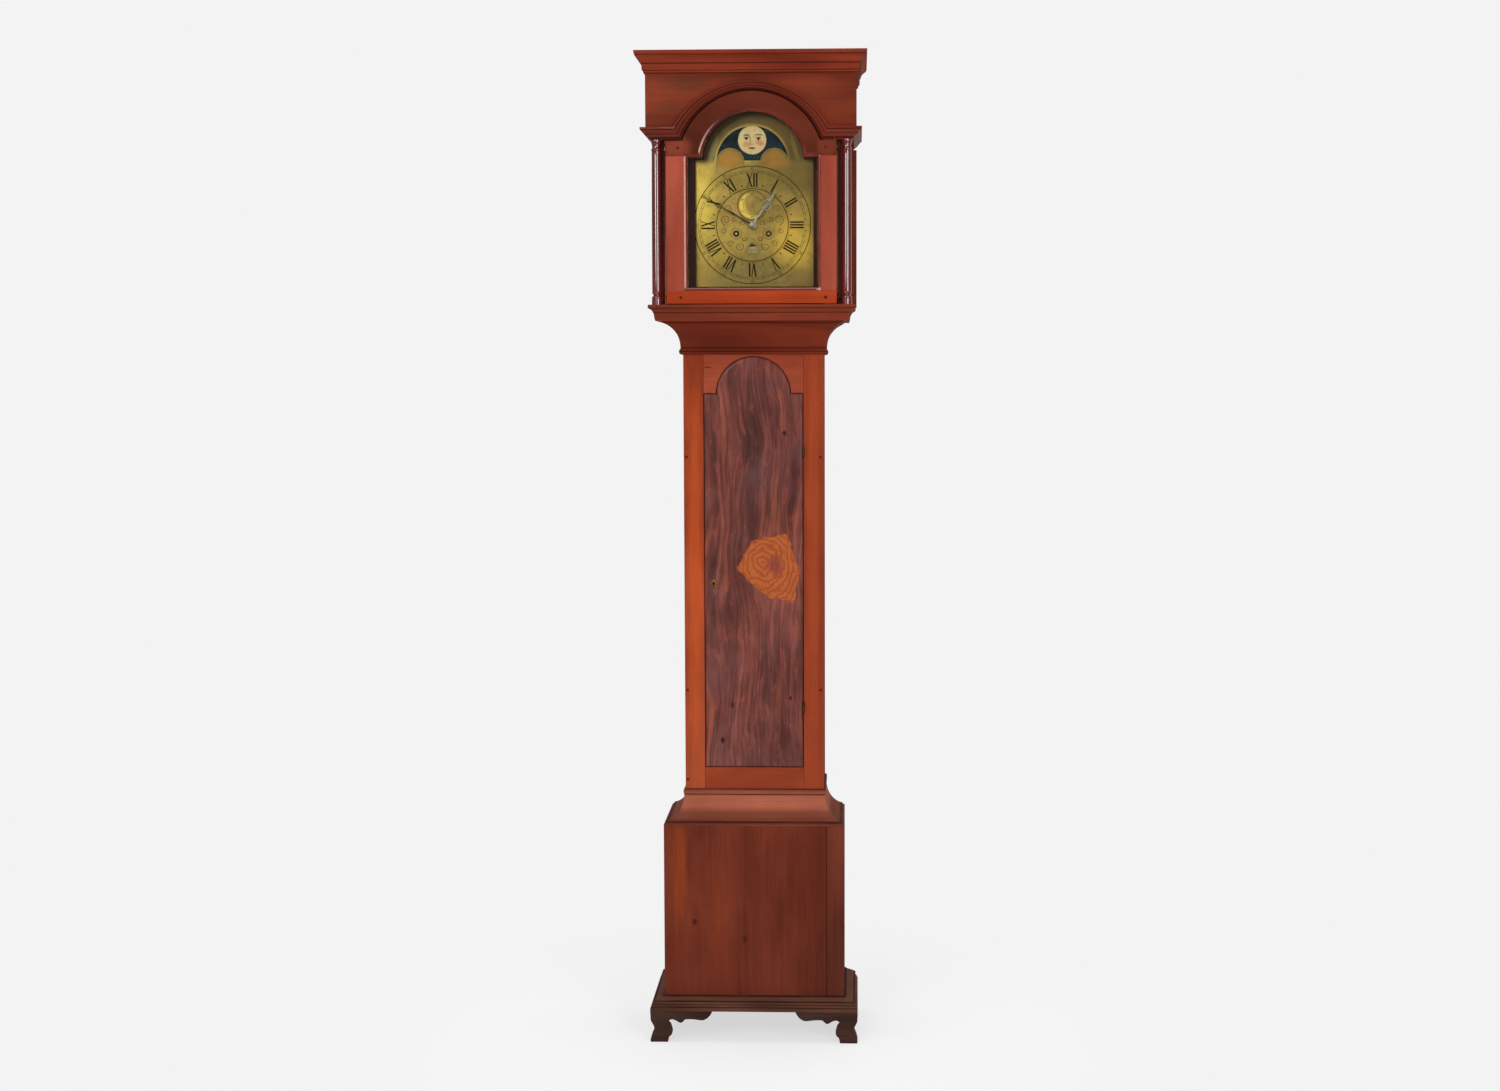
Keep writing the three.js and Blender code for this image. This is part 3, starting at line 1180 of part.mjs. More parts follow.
// Bell on its stand, and the hammer beside it.
const bellDeep = 19.5;
const bellLow = 92;
const bellRadius = 46;
const bellHigh = 38;
const bellWall = 2.5;
const bellShares = [[1, 0], [0.97, 0.12], [0.93, 0.35], [0.84, 0.62], [0.66, 0.85], [0.4, 0.97], [0, 1]];
const bellOuter = bellShares.map(([wide, up]) => [wide * bellRadius, dialHeight + bellLow + up * bellHigh]);
const bellInner = bellShares.map(([wide, up]) => [wide * (bellRadius - bellWall),
  dialHeight + bellLow + up * (bellHigh - bellWall)]).reverse();
const standThick = 3;
const standAcross = 50;
const standWide = 9;
const standFoot = 40;
const standTop = 142;
const stubRadius = 4;
const standHigh = dialHeight + standTop;
metal('bell', join(
  turnedUp([...bellOuter, ...bellInner, bellOuter[0]], 0, bellDeep, 2 * smallSteps),
  post(stubRadius, dialHeight + bellLow + bellHigh - bellWall / 2, standHigh - standThick / 2, 0, bellDeep),
  plate([[standAcross, dialHeight + standFoot], [standAcross + standWide, dialHeight + standFoot],
    [standAcross + standWide, standHigh], [-stubRadius, standHigh], [-stubRadius, standHigh - 2 * standThick],
    [standAcross, standHigh - 2 * standThick]], backPlateBack, backPlateBack + standThick),
));
const hammerFront = 8;
const hammerThick = 2.2;
const hammerArmHalf = 1.5;
const hammerArm = 36;
const hammerHeadHalf = 5.4;
const hammerHeadRadius = 4;
const headPlace = hammerAbove + hammerArm;
const headGeometry = new THREE.CylinderGeometry(hammerHeadRadius, hammerHeadRadius, 2 * hammerHeadHalf,
  studSteps);
headGeometry.rotateZ(Math.PI / 2);
headGeometry.translate(hammerAcross - hammerArmHalf, hammerFront + hammerThick / 2, dialHeight + headPlace);
metal('strike_hammer', join(
  rod(arborRadius, frontPlateFront + pivotEnd / 2, backPlateBack - pivotEnd / 2, ...hammerPlace),
  block(hammerAcross - hammerArmHalf, hammerAcross + hammerArmHalf, hammerFront, hammerFront + hammerThick,
    dialHeight + hammerAbove, dialHeight + headPlace),
  toSolid(headGeometry),
), paint.steel);

// Weights on pulleys: the line comes off the barrel, runs under the pulley and ends on the seat board.
const lineRadius = 0.8;
const pulleyGroove = 20.9;
const pulleyRim = 24;
const pulleyHalf = 3;
const grooveHalf = 1.6;
const axleRadius = 2;
const cheekThick = 2;
const cheekHalf = 5;
const cheekGap = 1;
const strapTop = 8;
const stirrupDrop = 44;
const weightRadius = 26;
const weightHigh = 190;
const crownHigh = 10;
const knotRadius = 3;
const knotHigh = 5;
const goingDrop = 323;
const strikeDrop = 433;
const pulleyHeights = { going: seatUnder - goingDrop, strike: seatUnder - strikeDrop };
const crownShares = { wide: 0.6, down: 0.3 };
const loopSteps = 12;
const lineSides = 6;

function weightOn(across, high) {
  const cheekFront = lineDeep - pulleyHalf - cheekGap - cheekThick;
  const cheekRear = lineDeep + pulleyHalf + cheekGap;
  const low = high - stirrupDrop;
  return join(
    block(across - cheekHalf, across + cheekHalf, cheekFront, cheekFront + cheekThick, low - strapTop,
      high + strapTop),
    block(across - cheekHalf, across + cheekHalf, cheekRear, cheekRear + cheekThick, low - strapTop,
      high + strapTop),
    rod(axleRadius, cheekFront, cheekRear + cheekThick, across, high, studSteps),
    turnedUp([[0, low], [cheekHalf + cheekThick, low], [weightRadius * crownShares.wide,
      low - crownHigh * crownShares.down],
      [weightRadius, low - crownHigh], [weightRadius, low - crownHigh - weightHigh],
      [0, low - crownHigh - weightHigh]], across, lineDeep, 2 * smallSteps),
  );
}

function lineOf(across, high, barrelSide) {
  const barrelAt = across + barrelSide * barrelLineRadius;
  const fixedAt = across - barrelSide * barrelLineRadius;
  const hexagon = ringOf(1, 0, 0, lineSides);
  const turns = Array.from({ length: loopSteps + 1 }, (_, step) => {
    const angle = Math.PI * step / loopSteps;
    return { x: across + barrelSide * barrelLineRadius * Math.cos(angle),
      z: high - barrelLineRadius * Math.sin(angle), lean: barrelSide * angle, radius: lineRadius };
  });
  const end = { x: fixedAt, lean: barrelSide * Math.PI };
  const path = [
    { x: barrelAt, z: dialHeight - windingBelow, lean: 0, radius: lineRadius },
    ...turns,
    { ...end, z: seatTop + seatGap, radius: lineRadius },
    { ...end, z: seatTop + seatGap + lineRadius, radius: knotRadius + seatGap },
    { ...end, z: seatTop + knotHigh, radius: knotRadius + seatGap },
    { ...end, z: seatTop + knotHigh + lineRadius, radius: lineRadius },
  ];
  return loft(hexagon, path.map(({ x, z, lean, radius }) => hexagon.map(([across1, deep]) => [
    x + across1 * radius * Math.cos(lean), lineDeep + deep * radius,
    z - across1 * radius * Math.sin(lean)])));
}

for (const [name, side] of [['going', 1], ['strike', -1]]) {
  const across = side * windingAcross;
  const high = pulleyHeights[name];
  metal(`${name}_weight`, weightOn(across, high), paint.lead);
  metal(`${name}_pulley`, turnedBack([
    [axleRadius + seatGap, -pulleyHalf], [pulleyRim, -pulleyHalf], [pulleyRim, -grooveHalf],
    [pulleyGroove, -lineRadius], [pulleyGroove, lineRadius], [pulleyRim, grooveHalf],
    [pulleyRim, pulleyHalf], [axleRadius + seatGap, pulleyHalf], [axleRadius + seatGap, -pulleyHalf],
  ].map(([radius, deep]) => [radius, lineDeep + deep]), across, high, 2 * smallSteps));
  addPart(`${name}_line`, lineOf(across, high, -1), paint.gut, 0.8, 0);
}

export default group;
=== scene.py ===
# A tall case clock on a plain studio floor: a wooden case with a sliding hood, an arched
# brass dial with a painted moon, and the eight-day movement, pendulum and weights inside.
import math

import bmesh
import bpy
import numpy as np
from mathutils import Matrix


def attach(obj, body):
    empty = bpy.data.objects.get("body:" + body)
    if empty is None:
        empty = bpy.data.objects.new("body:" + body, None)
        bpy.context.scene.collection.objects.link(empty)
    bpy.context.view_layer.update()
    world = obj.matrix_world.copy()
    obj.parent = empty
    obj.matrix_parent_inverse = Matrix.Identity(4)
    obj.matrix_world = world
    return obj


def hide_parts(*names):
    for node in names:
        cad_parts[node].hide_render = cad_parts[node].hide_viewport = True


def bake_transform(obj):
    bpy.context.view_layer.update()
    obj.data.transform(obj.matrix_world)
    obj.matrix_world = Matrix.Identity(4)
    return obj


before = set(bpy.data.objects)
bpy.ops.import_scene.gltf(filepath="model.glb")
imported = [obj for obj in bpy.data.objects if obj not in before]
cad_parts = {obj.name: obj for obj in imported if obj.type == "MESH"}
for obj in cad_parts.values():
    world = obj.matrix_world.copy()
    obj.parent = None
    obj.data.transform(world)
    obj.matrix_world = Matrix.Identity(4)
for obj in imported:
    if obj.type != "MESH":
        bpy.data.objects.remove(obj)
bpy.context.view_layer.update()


# Studio. The camera stands at the height of the waist, a little to the clock's right. Two big
# soft lamps stand beside it, a tall strip at the left and a panel overhead. The backdrop is pale
# grey; what shines sees it behind the clock, and the dimmer room before it.
camera_place = (0.2437, -4.9469, 1.5796)
camera_turn, camera_tip, camera_roll = 0.0343, 0.0795, 0.0022
camera_data = bpy.data.cameras.new("camera")
camera_data.sensor_width = 36
camera_data.lens = 49.65
camera_data.shift_x, camera_data.shift_y = -0.0235, -0.0016
camera = bpy.data.objects.new("camera", camera_data)
camera.location = camera_place
camera.rotation_euler = (math.pi / 2 - camera_tip, camera_roll, camera_turn)
bpy.context.collection.objects.link(camera)
bpy.context.scene.camera = camera
bpy.context.scene.view_settings.view_transform = "Standard"


def lamp(name, place, aim, wide, high, power, mirrored=True):
    """An area lamp at place that shines at aim, wide by high in metres. One that isn't mirrored
    lights what is matt and leaves no streak on what shines."""
    data = bpy.data.lights.new(name, "AREA")
    data.shape = "RECTANGLE"
    data.size, data.size_y, data.energy = wide, high, power
    made = bpy.data.objects.new(name, data)
    made.location = place
    away = np.array(place) - np.array(aim)
    level = math.hypot(away[0], away[1])
    made.rotation_euler = (math.atan2(level, away[2]), 0, math.atan2(away[0], -away[1]))
    made.visible_glossy = mirrored
    bpy.context.collection.objects.link(made)


lamp("front_lamp", (-1.45, -4.3, 3.1), (0, 0, 1.3), 1.5, 2.2, 70)
lamp("right_strip", (2.0, -3.7, 1.9), (0, 0, 1.5), 1.1, 2.6, 58)
lamp("left_strip", (-2.9, -2.1, 1.7), (0, 0, 1.3), 0.7, 2.8, 18, mirrored=False)
lamp("top_lamp", (0.2, 0.2, 5.2), (0, 0, 0), 3.4, 3.4, 150)


def node(tree, kind, inputs=None, **settings):
    """A shader node with its settings, and its inputs set to values or linked to sockets."""
    made = tree.nodes.new("ShaderNode" + kind)
    for key, value in settings.items():
        setattr(made, key, value)
    for key, value in (inputs or {}).items():
        if isinstance(value, bpy.types.NodeSocket):
            tree.links.new(value, made.inputs[key])
        else:
            made.inputs[key].default_value = value
    return made


def maths(tree, how, *values):
    """Socket of a sum, product or other operation on two or three values."""
    return node(tree, "Math", dict(enumerate(values)), operation=how).outputs[0]


def ranged(tree, value, low, high, to_low=0.0, to_high=1.0, smooth=False):
    """Value carried from the range low..high to to_low..to_high, and clamped."""
    return node(tree, "MapRange", {"Value": value, "From Min": low, "From Max": high, "To Min": to_low,
                                   "To Max": to_high},
                interpolation_type="SMOOTHSTEP" if smooth else "LINEAR").outputs[0]


def around(count):
    """Angles of a full turn in even steps."""
    return np.linspace(0, 2 * np.pi, count, endpoint=False)


pale_grey = (0.8963, 0.8963, 0.8963, 1)
world = bpy.data.worlds.new("room")
bpy.context.scene.world = world
world.use_nodes = True
tree = world.node_tree
tree.nodes.clear()
path = node(tree, "LightPath").outputs
aim = node(tree, "SeparateXYZ", {0: node(tree, "TexCoord").outputs["Generated"]})
mirrored = maths(tree, "MULTIPLY", path["Is Glossy Ray"], ranged(tree, aim.outputs[1], 0.5, 0.85))
seen = maths(tree, "MAXIMUM", path["Is Camera Ray"], mirrored)
seen = maths(tree, "MAXIMUM", seen, path["Is Transmission Ray"])
shown = node(tree, "Background", {"Color": pale_grey, "Strength": 1.0})
dimmed = ranged(tree, path["Is Glossy Ray"], 0, 1, 0.36, 0.17)
lighting = node(tree, "Background", {"Color": (1, 1, 1, 1), "Strength": dimmed})
both = node(tree, "MixShader", {0: seen, 1: lighting.outputs[0], 2: shown.outputs[0]})
node(tree, "OutputWorld", {"Surface": both.outputs[0]})

# Floor: a round pale sheet that takes the clock's shadow and fades into the room's grey. It
# glows a little, so that the shadow stays as light as on a white studio sweep.
floor_radius, floor_level, floor_corners = 9.0, -0.0002, 64
turn = around(floor_corners)
floor_mesh = bpy.data.meshes.new("floor")
floor_mesh.from_pydata(np.stack([floor_radius * np.cos(turn), floor_radius * np.sin(turn),
                                 np.full(floor_corners, floor_level)], 1), [], [list(range(floor_corners))])
floor = bpy.data.objects.new("floor", floor_mesh)
bpy.context.collection.objects.link(floor)
floor_material = bpy.data.materials.new("floor_sheet")
floor_material.use_nodes = True
tree = floor_material.node_tree
tree.nodes.clear()
reach = node(tree, "VectorMath", {0: node(tree, "TexCoord").outputs["Object"]}, operation="LENGTH")
fade = ranged(tree, reach.outputs["Value"], 0.4, 1.1, smooth=True)
path = node(tree, "LightPath").outputs
seen = maths(tree, "MAXIMUM", path["Is Camera Ray"], path["Is Glossy Ray"])
sheet_face = node(tree, "BsdfDiffuse", {"Color": (0.9, 0.9, 0.9, 1)})
sheet_glow = node(tree, "Emission", {"Color": (0.92, 0.92, 0.92, 1), "Strength": 1.0})
sheet = node(tree, "MixShader", {0: maths(tree, "MULTIPLY", seen, 0.68), 1: sheet_face.outputs[0],
                                 2: sheet_glow.outputs[0]})
clear = node(tree, "BsdfTransparent")
both = node(tree, "MixShader", {0: maths(tree, "MULTIPLY", fade, seen), 1: sheet.outputs[0],
                                2: clear.outputs[0]})
node(tree, "OutputMaterial", {"Surface": both.outputs[0]})
floor_mesh.materials.append(floor_material)


# Bracket feet: four ogee brackets of dark mahogany, each two boards mitred at the corner and
# sawn to a scroll below. The rear pair has a plain back board. They are glued to the moulding.
def linear(red, green, blue):
    """Scene colour of an 8-bit display colour: the sRGB curve, undone channel by channel."""
    shade = np.array([red, green, blue]) / 255
    shade = np.where(shade <= 0.04045, shade / 12.92, ((shade + 0.055) / 1.055) ** 2.4)
    return (*shade.tolist(), 1.0)


def mixed(tree, share, first, second, how="MIX"):
    """Colour socket of a mix of two colours."""
    made = tree.nodes.new("ShaderNodeMix")
    made.data_type, made.blend_type = "RGBA", how
    for place, value in ((0, share), (6, first), (7, second)):
        if isinstance(value, bpy.types.NodeSocket):
            tree.links.new(value, made.inputs[place])
        else:
            made.inputs[place].default_value = value
    return made.outputs[2]


def scaled(tree, place, scale):
    """Coordinates drawn out by a scale."""
    return node(tree, "Mapping", {"Vector": place, "Scale": scale}).outputs[0]


def noise(tree, place, scale, detail=2.0, rough=0.5, twist=0.0):
    """Noise value at a place."""
    return node(tree, "TexNoise", {"Vector": place, "Scale": scale, "Detail": detail, "Roughness": rough,
                                   "Distortion": twist}).outputs["Fac"]


def new_material(name, rough, metal=0.0, coat=0.0, coat_rough=0.1, coat_ior=1.5):
    """A material with one Principled shader, and the shader's tree and node. What isn't metal
    shines by its coat alone."""
    material = bpy.data.materials.new(name)
    material.use_nodes = True
    tree = material.node_tree
    shader = tree.nodes["Principled BSDF"]
    for key, value in (("Roughness", rough), ("Metallic", metal), ("Coat Weight", coat),
                       ("Coat Roughness", coat_rough), ("Coat IOR", coat_ior)):
        shader.inputs[key].default_value = value
    if metal == 0:
        shader.inputs["Specular IOR Level"].default_value = 0.0
    return material, tree, shader


def painted(tree, shader, colour, height, strength, distance, rough=None):
    """The shader's colour, its bump from a height, and its roughness where that varies."""
    bump = node(tree, "Bump", {"Strength": strength, "Distance": distance, "Height": height}).outputs[0]
    for key, socket in (("Base Color", colour), ("Normal", bump), ("Roughness", rough)):
        if socket:
            tree.links.new(socket, shader.inputs[key])


grain_turns = {"x": (0, 0, 0), "y": (0, 0, math.pi / 2), "z": (0, math.pi / 2, 0)}


def grain_place(tree, along, shift):
    """Coordinates in metres with X along the grain: the piece's own map, or Object turned."""
    coords = node(tree, "TexCoord")
    if along == "map":
        return node(tree, "Mapping", {"Vector": coords.outputs["UV"], "Location": shift}).outputs[0]
    return node(tree, "Mapping", {"Vector": coords.outputs["Object"], "Rotation": grain_turns[along],
                                  "Location": shift}).outputs[0]


def polished_wood(name, deep, fair, along="z", shift=(0, 0, 0), figure=7.0, streaks=0.5, rough=0.4,
                  coat=0.05, cloud=0.5, pores=0.4, glow=None, coat_ior=1.5, shade=None, gloss=0.0):
    """Old polished wood: slow bands between a deep and a fair colour, fine streaks along the
    grain, short dark pores, a cloudy varnish, and a little bump from streaks and pores."""
    material, tree, shader = new_material(name, rough, coat=coat, coat_rough=0.13, coat_ior=coat_ior)
    place = grain_place(tree, along, shift)
    bands = noise(tree, scaled(tree, place, (1.6, 7, 7)), figure / 7.0, 3.0, 0.55, 0.6)
    colour = mixed(tree, ranged(tree, bands, 0.34, 0.66), linear(*deep), linear(*fair))
    if glow:
        colour = mixed(tree, glow[1](tree), colour, linear(*glow[0]))
    if shade:
        colour = mixed(tree, shade[1](tree), colour, linear(*shade[0]))
    if gloss:
        shader.inputs["Specular IOR Level"].default_value = gloss
        shader.inputs["Specular Tint"].default_value = (1.0, 0.6, 0.52, 1)
    streak = noise(tree, scaled(tree, place, (5, 150, 150)), 1.0, 5.0, 0.62, 0.4)
    light = mixed(tree, ranged(tree, streak, 0.3, 0.7), (1 - 0.3 * streaks,) * 3 + (1,),
                  (1 + 0.16 * streaks,) * 3 + (1,))
    colour = mixed(tree, 1.0, colour, light, "MULTIPLY")
    pore = ranged(tree, noise(tree, scaled(tree, place, (90, 1500, 1500)), 1.0, 2.0, 0.6), 0.6, 0.72)
    colour = mixed(tree, maths(tree, "MULTIPLY", pore, pores), colour,
                   mixed(tree, 1.0, colour, (0.35, 0.3, 0.3, 1), "MULTIPLY"))
    murk = noise(tree, place, 5.0, 4.0, 0.6)
    colour = mixed(tree, ranged(tree, murk, 0.35, 0.75, 0.0, cloud), colour,
                   mixed(tree, 1.0, colour, (0.66, 0.6, 0.62, 1), "MULTIPLY"))
    painted(tree, shader, colour, maths(tree, "SUBTRACT", streak, pore), 0.12, 0.0006,
            ranged(tree, murk, 0.3, 0.7, rough - 0.05, rough + 0.09))
    return material


def finished(name, points, faces, material, body, replaced=(), smooth=None, maps=None,
             bevel=0.0):
    """A piece from points (n, 3) in millimetres and faces: doubles joined, faces turned outwards,
    put on its body. maps holds one (u, v) in metres for each corner of each face."""
    mesh = bpy.data.meshes.new(name)
    mesh.from_pydata(np.asarray(points, float) / 1000, [], [list(face) for face in faces])
    if maps is not None:
        layer = mesh.uv_layers.new(name="grain")
        layer.data.foreach_set("uv", np.asarray(maps, np.float32).ravel())
    made = bmesh.new()
    made.from_mesh(mesh)
    bmesh.ops.remove_doubles(made, verts=made.verts, dist=2e-6)
    bmesh.ops.dissolve_degenerate(made, edges=made.edges, dist=1e-6)
    bmesh.ops.recalc_face_normals(made, faces=made.faces)
    made.to_mesh(mesh)
    made.free()
    mesh.materials.append(material)
    piece = bpy.data.objects.new(name, mesh)
    bpy.context.collection.objects.link(piece)
    if smooth is not None:
        mesh.shade_smooth()
        mesh.set_sharp_from_angle(angle=math.radians(smooth))
    if bevel:
        edge = piece.modifiers.new("worn_edges", "BEVEL")
        edge.width, edge.segments, edge.limit_method = bevel / 1000, 2, "ANGLE"
        edge.angle_limit = math.radians(40)
    if replaced:
        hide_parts(*replaced)
    if body:
        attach(piece, body)
    return piece


def looped(rings, ends=True, close_path=False):
    """Faces and (u, v) map of a grid of points (rings, points, 3) whose rings close on themselves:
    a quad for each step, and a many-sided face on each end."""
    count, around = rings.shape[:2]
    step = np.arange(count if close_path else count - 1)[:, None]
    turn = np.arange(around)[None, :]
    after, beside = (step + 1) % count, (turn + 1) % around
    quads = np.stack([step * around + turn, after * around + turn, after * around + beside,
                      step * around + beside], -1).reshape(-1, 4)
    along = np.linalg.norm(np.diff(rings, axis=0, append=rings[:1]), axis=2)
    along = np.concatenate([np.zeros((1, around)), np.cumsum(along, 0)])
    along = np.concatenate([along, along[:, :1]], 1)
    aside = np.linalg.norm(np.diff(rings, axis=1, append=rings[:, :1]), axis=2).mean(0)
    aside = np.concatenate([[0], np.cumsum(aside)])
    u = np.stack([along[step, turn], along[step + 1, turn], along[step + 1, turn + 1],
                  along[step, turn + 1]], -1).reshape(-1, 4)
    v = np.stack(np.broadcast_arrays(aside[turn], aside[turn], aside[turn + 1], aside[turn + 1]), -1)
    v = np.broadcast_to(v.reshape(1, -1, 4), (len(step), around, 4)).reshape(-1, 4)
    faces = quads.tolist()
    maps = np.stack([u, v], -1).reshape(-1, 2) / 1000
    if ends and not close_path:
        faces += [list(range(around)), list(range((count - 1) * around, count * around))]
        across = np.stack([rings[..., 0] + rings[..., 1], rings[..., 2]], -1) / 1000
        maps = np.concatenate([maps, across[0], across[-1]])
    return faces, maps


def skinned(name, rings, material, body, slot, replaced=(), smooth=None, bevel=0.0, **how):
    """A piece whose surface is a grid of closed rings."""
    faces, maps = looped(rings, **how)
    return finished(name, rings.reshape(-1, 3), faces, material, body, replaced, smooth, maps, bevel)


foot_wood = polished_wood("foot_mahogany", (44, 31, 28), (74, 51, 43), "x", streaks=0.8, rough=0.45)
back, foot_front, foot_half, foot_top, foot_thick = 149.0, -128.9, 247.5, 75.0, 20.0
ogee_deep, front_leg_long, side_leg_long = 8.6, 148.0, 108.0
ogee = np.array([[.12, 0], [.05, .08], [.35, .2], [.75, .3], [1, .4], [.85, .5], [.4, .62], [.08, .72],
                 [0, .82], [0, 1]])
scroll = np.array([[.283, 0], [.304, .16], [.34, .22], [.355, .32], [.34, .45], [.327, .53], [.286, .645],
                   [.32, .72], [.365, .735], [.42, .69], [.488, .61], [.53, .66], [.57, .735], [.65, .745],
                   [.73, .735], [.8, .715], [.86, .715], [.92, .78], [.965, .87], [1, .985]])


def smooth_line(points, steps):
    """A curve through the points: Catmull-Rom pieces, sampled evenly in each piece."""
    points = np.asarray(points, float)
    ends = np.concatenate([2 * points[:1] - points[1:2], points, 2 * points[-1:] - points[-2:-1]])
    t = np.linspace(0, 1, steps, endpoint=False)[:, None, None]
    a, b, c, d = ends[:-3], ends[1:-2], ends[2:-1], ends[3:]
    curve = 0.5 * (2 * b + (c - a) * t + (2 * a - 5 * b + 4 * c - d) * t ** 2
                   + (3 * b - a - 3 * c + d) * t ** 3)
    return np.concatenate([curve.transpose(1, 0, 2).reshape(-1, points.shape[1]), points[-1:]])


def bracket(leg, place, mitred=True):
    """Closed rings of one leg of a foot. Each ring has a row across the face and a row back along
    the inner side. A row runs straight from the corner, or further on from the top edge, to the
    scroll's edge; the face pulls in by the ogee at its height. place turns (along, inwards, up)
    into the clock's x, y, z."""
    edge = smooth_line(scroll, 4) * [leg, foot_top]
    turn = 7 * 4
    bend = smooth_line(ogee, 6)

    def dent(up):
        """Depth of the ogee at a height."""
        return np.interp(up / foot_top, bend[:, 1], bend[:, 0]) * ogee_deep

    share = np.clip((edge[:, 0] - edge[turn, 0]) / (leg - edge[turn, 0]), 0, 1)
    low = np.arange(len(edge)) < turn
    start_up = np.where(low, edge[:, 1], foot_top)
    corner = dent(start_up) if mitred else np.zeros(len(edge))
    start_face = np.where(low, corner, share * leg)
    start_inner = np.where(low, foot_thick if mitred else 0.0, np.maximum(share * leg, foot_thick * mitred))
    run = np.linspace(0, 1, 9)[None, :]
    up = start_up[:, None] + (edge[:, 1:] - start_up[:, None]) * run
    face = np.stack([start_face[:, None] + (edge[:, :1] - start_face[:, None]) * run, dent(up), up], -1)
    inner = np.stack([start_inner[:, None] + (edge[:, :1] - start_inner[:, None]) * run,
                      np.full(up.shape, foot_thick), up], -1)
    return place(np.concatenate([face, inner[:, ::-1]], 1))


for name, side in (("left", -1), ("right", 1)):
    front_leg = bracket(front_leg_long, lambda p: np.stack([
        side * (foot_half - p[..., 0]), foot_front + p[..., 1], p[..., 2]], -1))
    side_leg = bracket(side_leg_long, lambda p: np.stack([
        side * (foot_half - p[..., 1]), foot_front + p[..., 0], p[..., 2]], -1))
    rear_leg = bracket(side_leg_long, lambda p: np.stack([
        side * (foot_half - p[..., 1]), back - p[..., 0], p[..., 2]], -1), False)
    sloped = np.array([[227.5, back, 0], [227.5, back, foot_top], [159.5, back, foot_top],
                       [159.5, back, 66.4], [218.9, back, 0]]) * [side, 1, 1]
    rear_block = np.stack([sloped - [0, foot_thick, 0], sloped])
    for end, word, leg, replaced in (("front", "face", front_leg, True), ("front", "return", side_leg, False),
                                     ("rear", "face", rear_leg, True), ("rear", "block", rear_block, False)):
        skinned(f"foot_{end}_{name}_{word}", leg, foot_wood, "case", "base_wood",
                [f"foot_{end}_{name}"] if replaced else (), smooth=38)


# Base moulding: a mitred frame of three lengths under the base box, worn and dark, run with a
# square foot, a fillet, a flat and a hollow that climbs to the box.
def three_sided(section, half, front, steps=3):
    """Rings of a section (out, up) carried round the left side, the front and the right side, with
    mitred corners: each ring is the section set out from the wall at that place."""
    out, up = section[:, 0], section[:, 1]
    share = np.linspace(0, 1, steps + 1)[:, None]
    whole, deep = -half - out, front - out
    left = np.stack(np.broadcast_arrays(whole, back + (deep - back) * share, up), -1)
    face = np.stack(np.broadcast_arrays(whole - 2 * whole * share, deep, up), -1)
    right = np.stack(np.broadcast_arrays(-whole, deep + (back - deep) * share, up), -1)
    return np.concatenate([left, face[1:], right[1:]])


def run_moulding(name, shares, projection, low, high, half, front, material, slot, replaced, body="case",
                 tail=()):
    """A moulding on three sides of the case, from shares of its projection and height."""
    section = np.asarray(shares, float) * [projection, high - low] + [0, low]
    section = np.concatenate([section, np.asarray(tail, float).reshape(-1, 2)])
    return skinned(name, three_sided(section, half, front), material, body, slot, [replaced], smooth=32)


def curved(shares, first, last, steps=4):
    """The shares with the stretch from first to last drawn as a smooth curve."""
    shares = np.asarray(shares, float)
    return np.concatenate([shares[:first], smooth_line(shares[first:last + 1], steps), shares[last + 1:]])


def greatest(tree, shares):
    """The greatest of some shares."""
    total = shares[0]
    for share in shares[1:]:
        total = maths(tree, "MAXIMUM", total, share)
    return total


def near(*spots):
    """Share of a stain made of soft oval spots: 1 in the middle of a spot and 0 outside. A spot is
    (x, z, half width, half height, strength) in millimetres on the front."""
    def paint(tree):
        coords = node(tree, "TexCoord").outputs["Object"]
        ragged = noise(tree, scaled(tree, coords, (70, 70, 9)), 1.0, 3.0)
        shares = []
        for x, z, wide, high, strength in spots:
            moved = node(tree, "Mapping", {"Vector": coords, "Location": (-x / wide, 0, -z / high),
                                           "Scale": (1000 / wide, 0, 1000 / high)}).outputs[0]
            far = node(tree, "VectorMath", {0: moved}, operation="LENGTH").outputs["Value"]
            far = maths(tree, "MULTIPLY_ADD", ragged, 0.9, far)
            shares.append(ranged(tree, far, 0.75, 1.6, strength, 0.0, smooth=True))
        return greatest(tree, shares)
    return paint


def soft_bands(tree, along, bands):
    """Share of soft bands (place in metres, half width in millimetres, strength) of a coordinate."""
    return greatest(tree, [
        ranged(tree, maths(tree, "ABSOLUTE", maths(tree, "SUBTRACT", along, place)), half * 0.0004,
               half * 0.0014, strength, 0.0, smooth=True) for place, half, strength in bands])


def level(*bands):
    """Share of soft level bands of the front and sides. A band is (z, half height, strength)."""
    def paint(tree):
        coords = node(tree, "TexCoord").outputs["Object"]
        high = node(tree, "SeparateXYZ", {0: coords}).outputs[2]
        waver = ranged(tree, noise(tree, coords, 9.0, 3.0), 0.2, 0.8, 0.6, 1.2)
        total = soft_bands(tree, high, [(z / 1000, half, strength) for z, half, strength in bands])
        return maths(tree, "MULTIPLY", total, waver)
    return paint


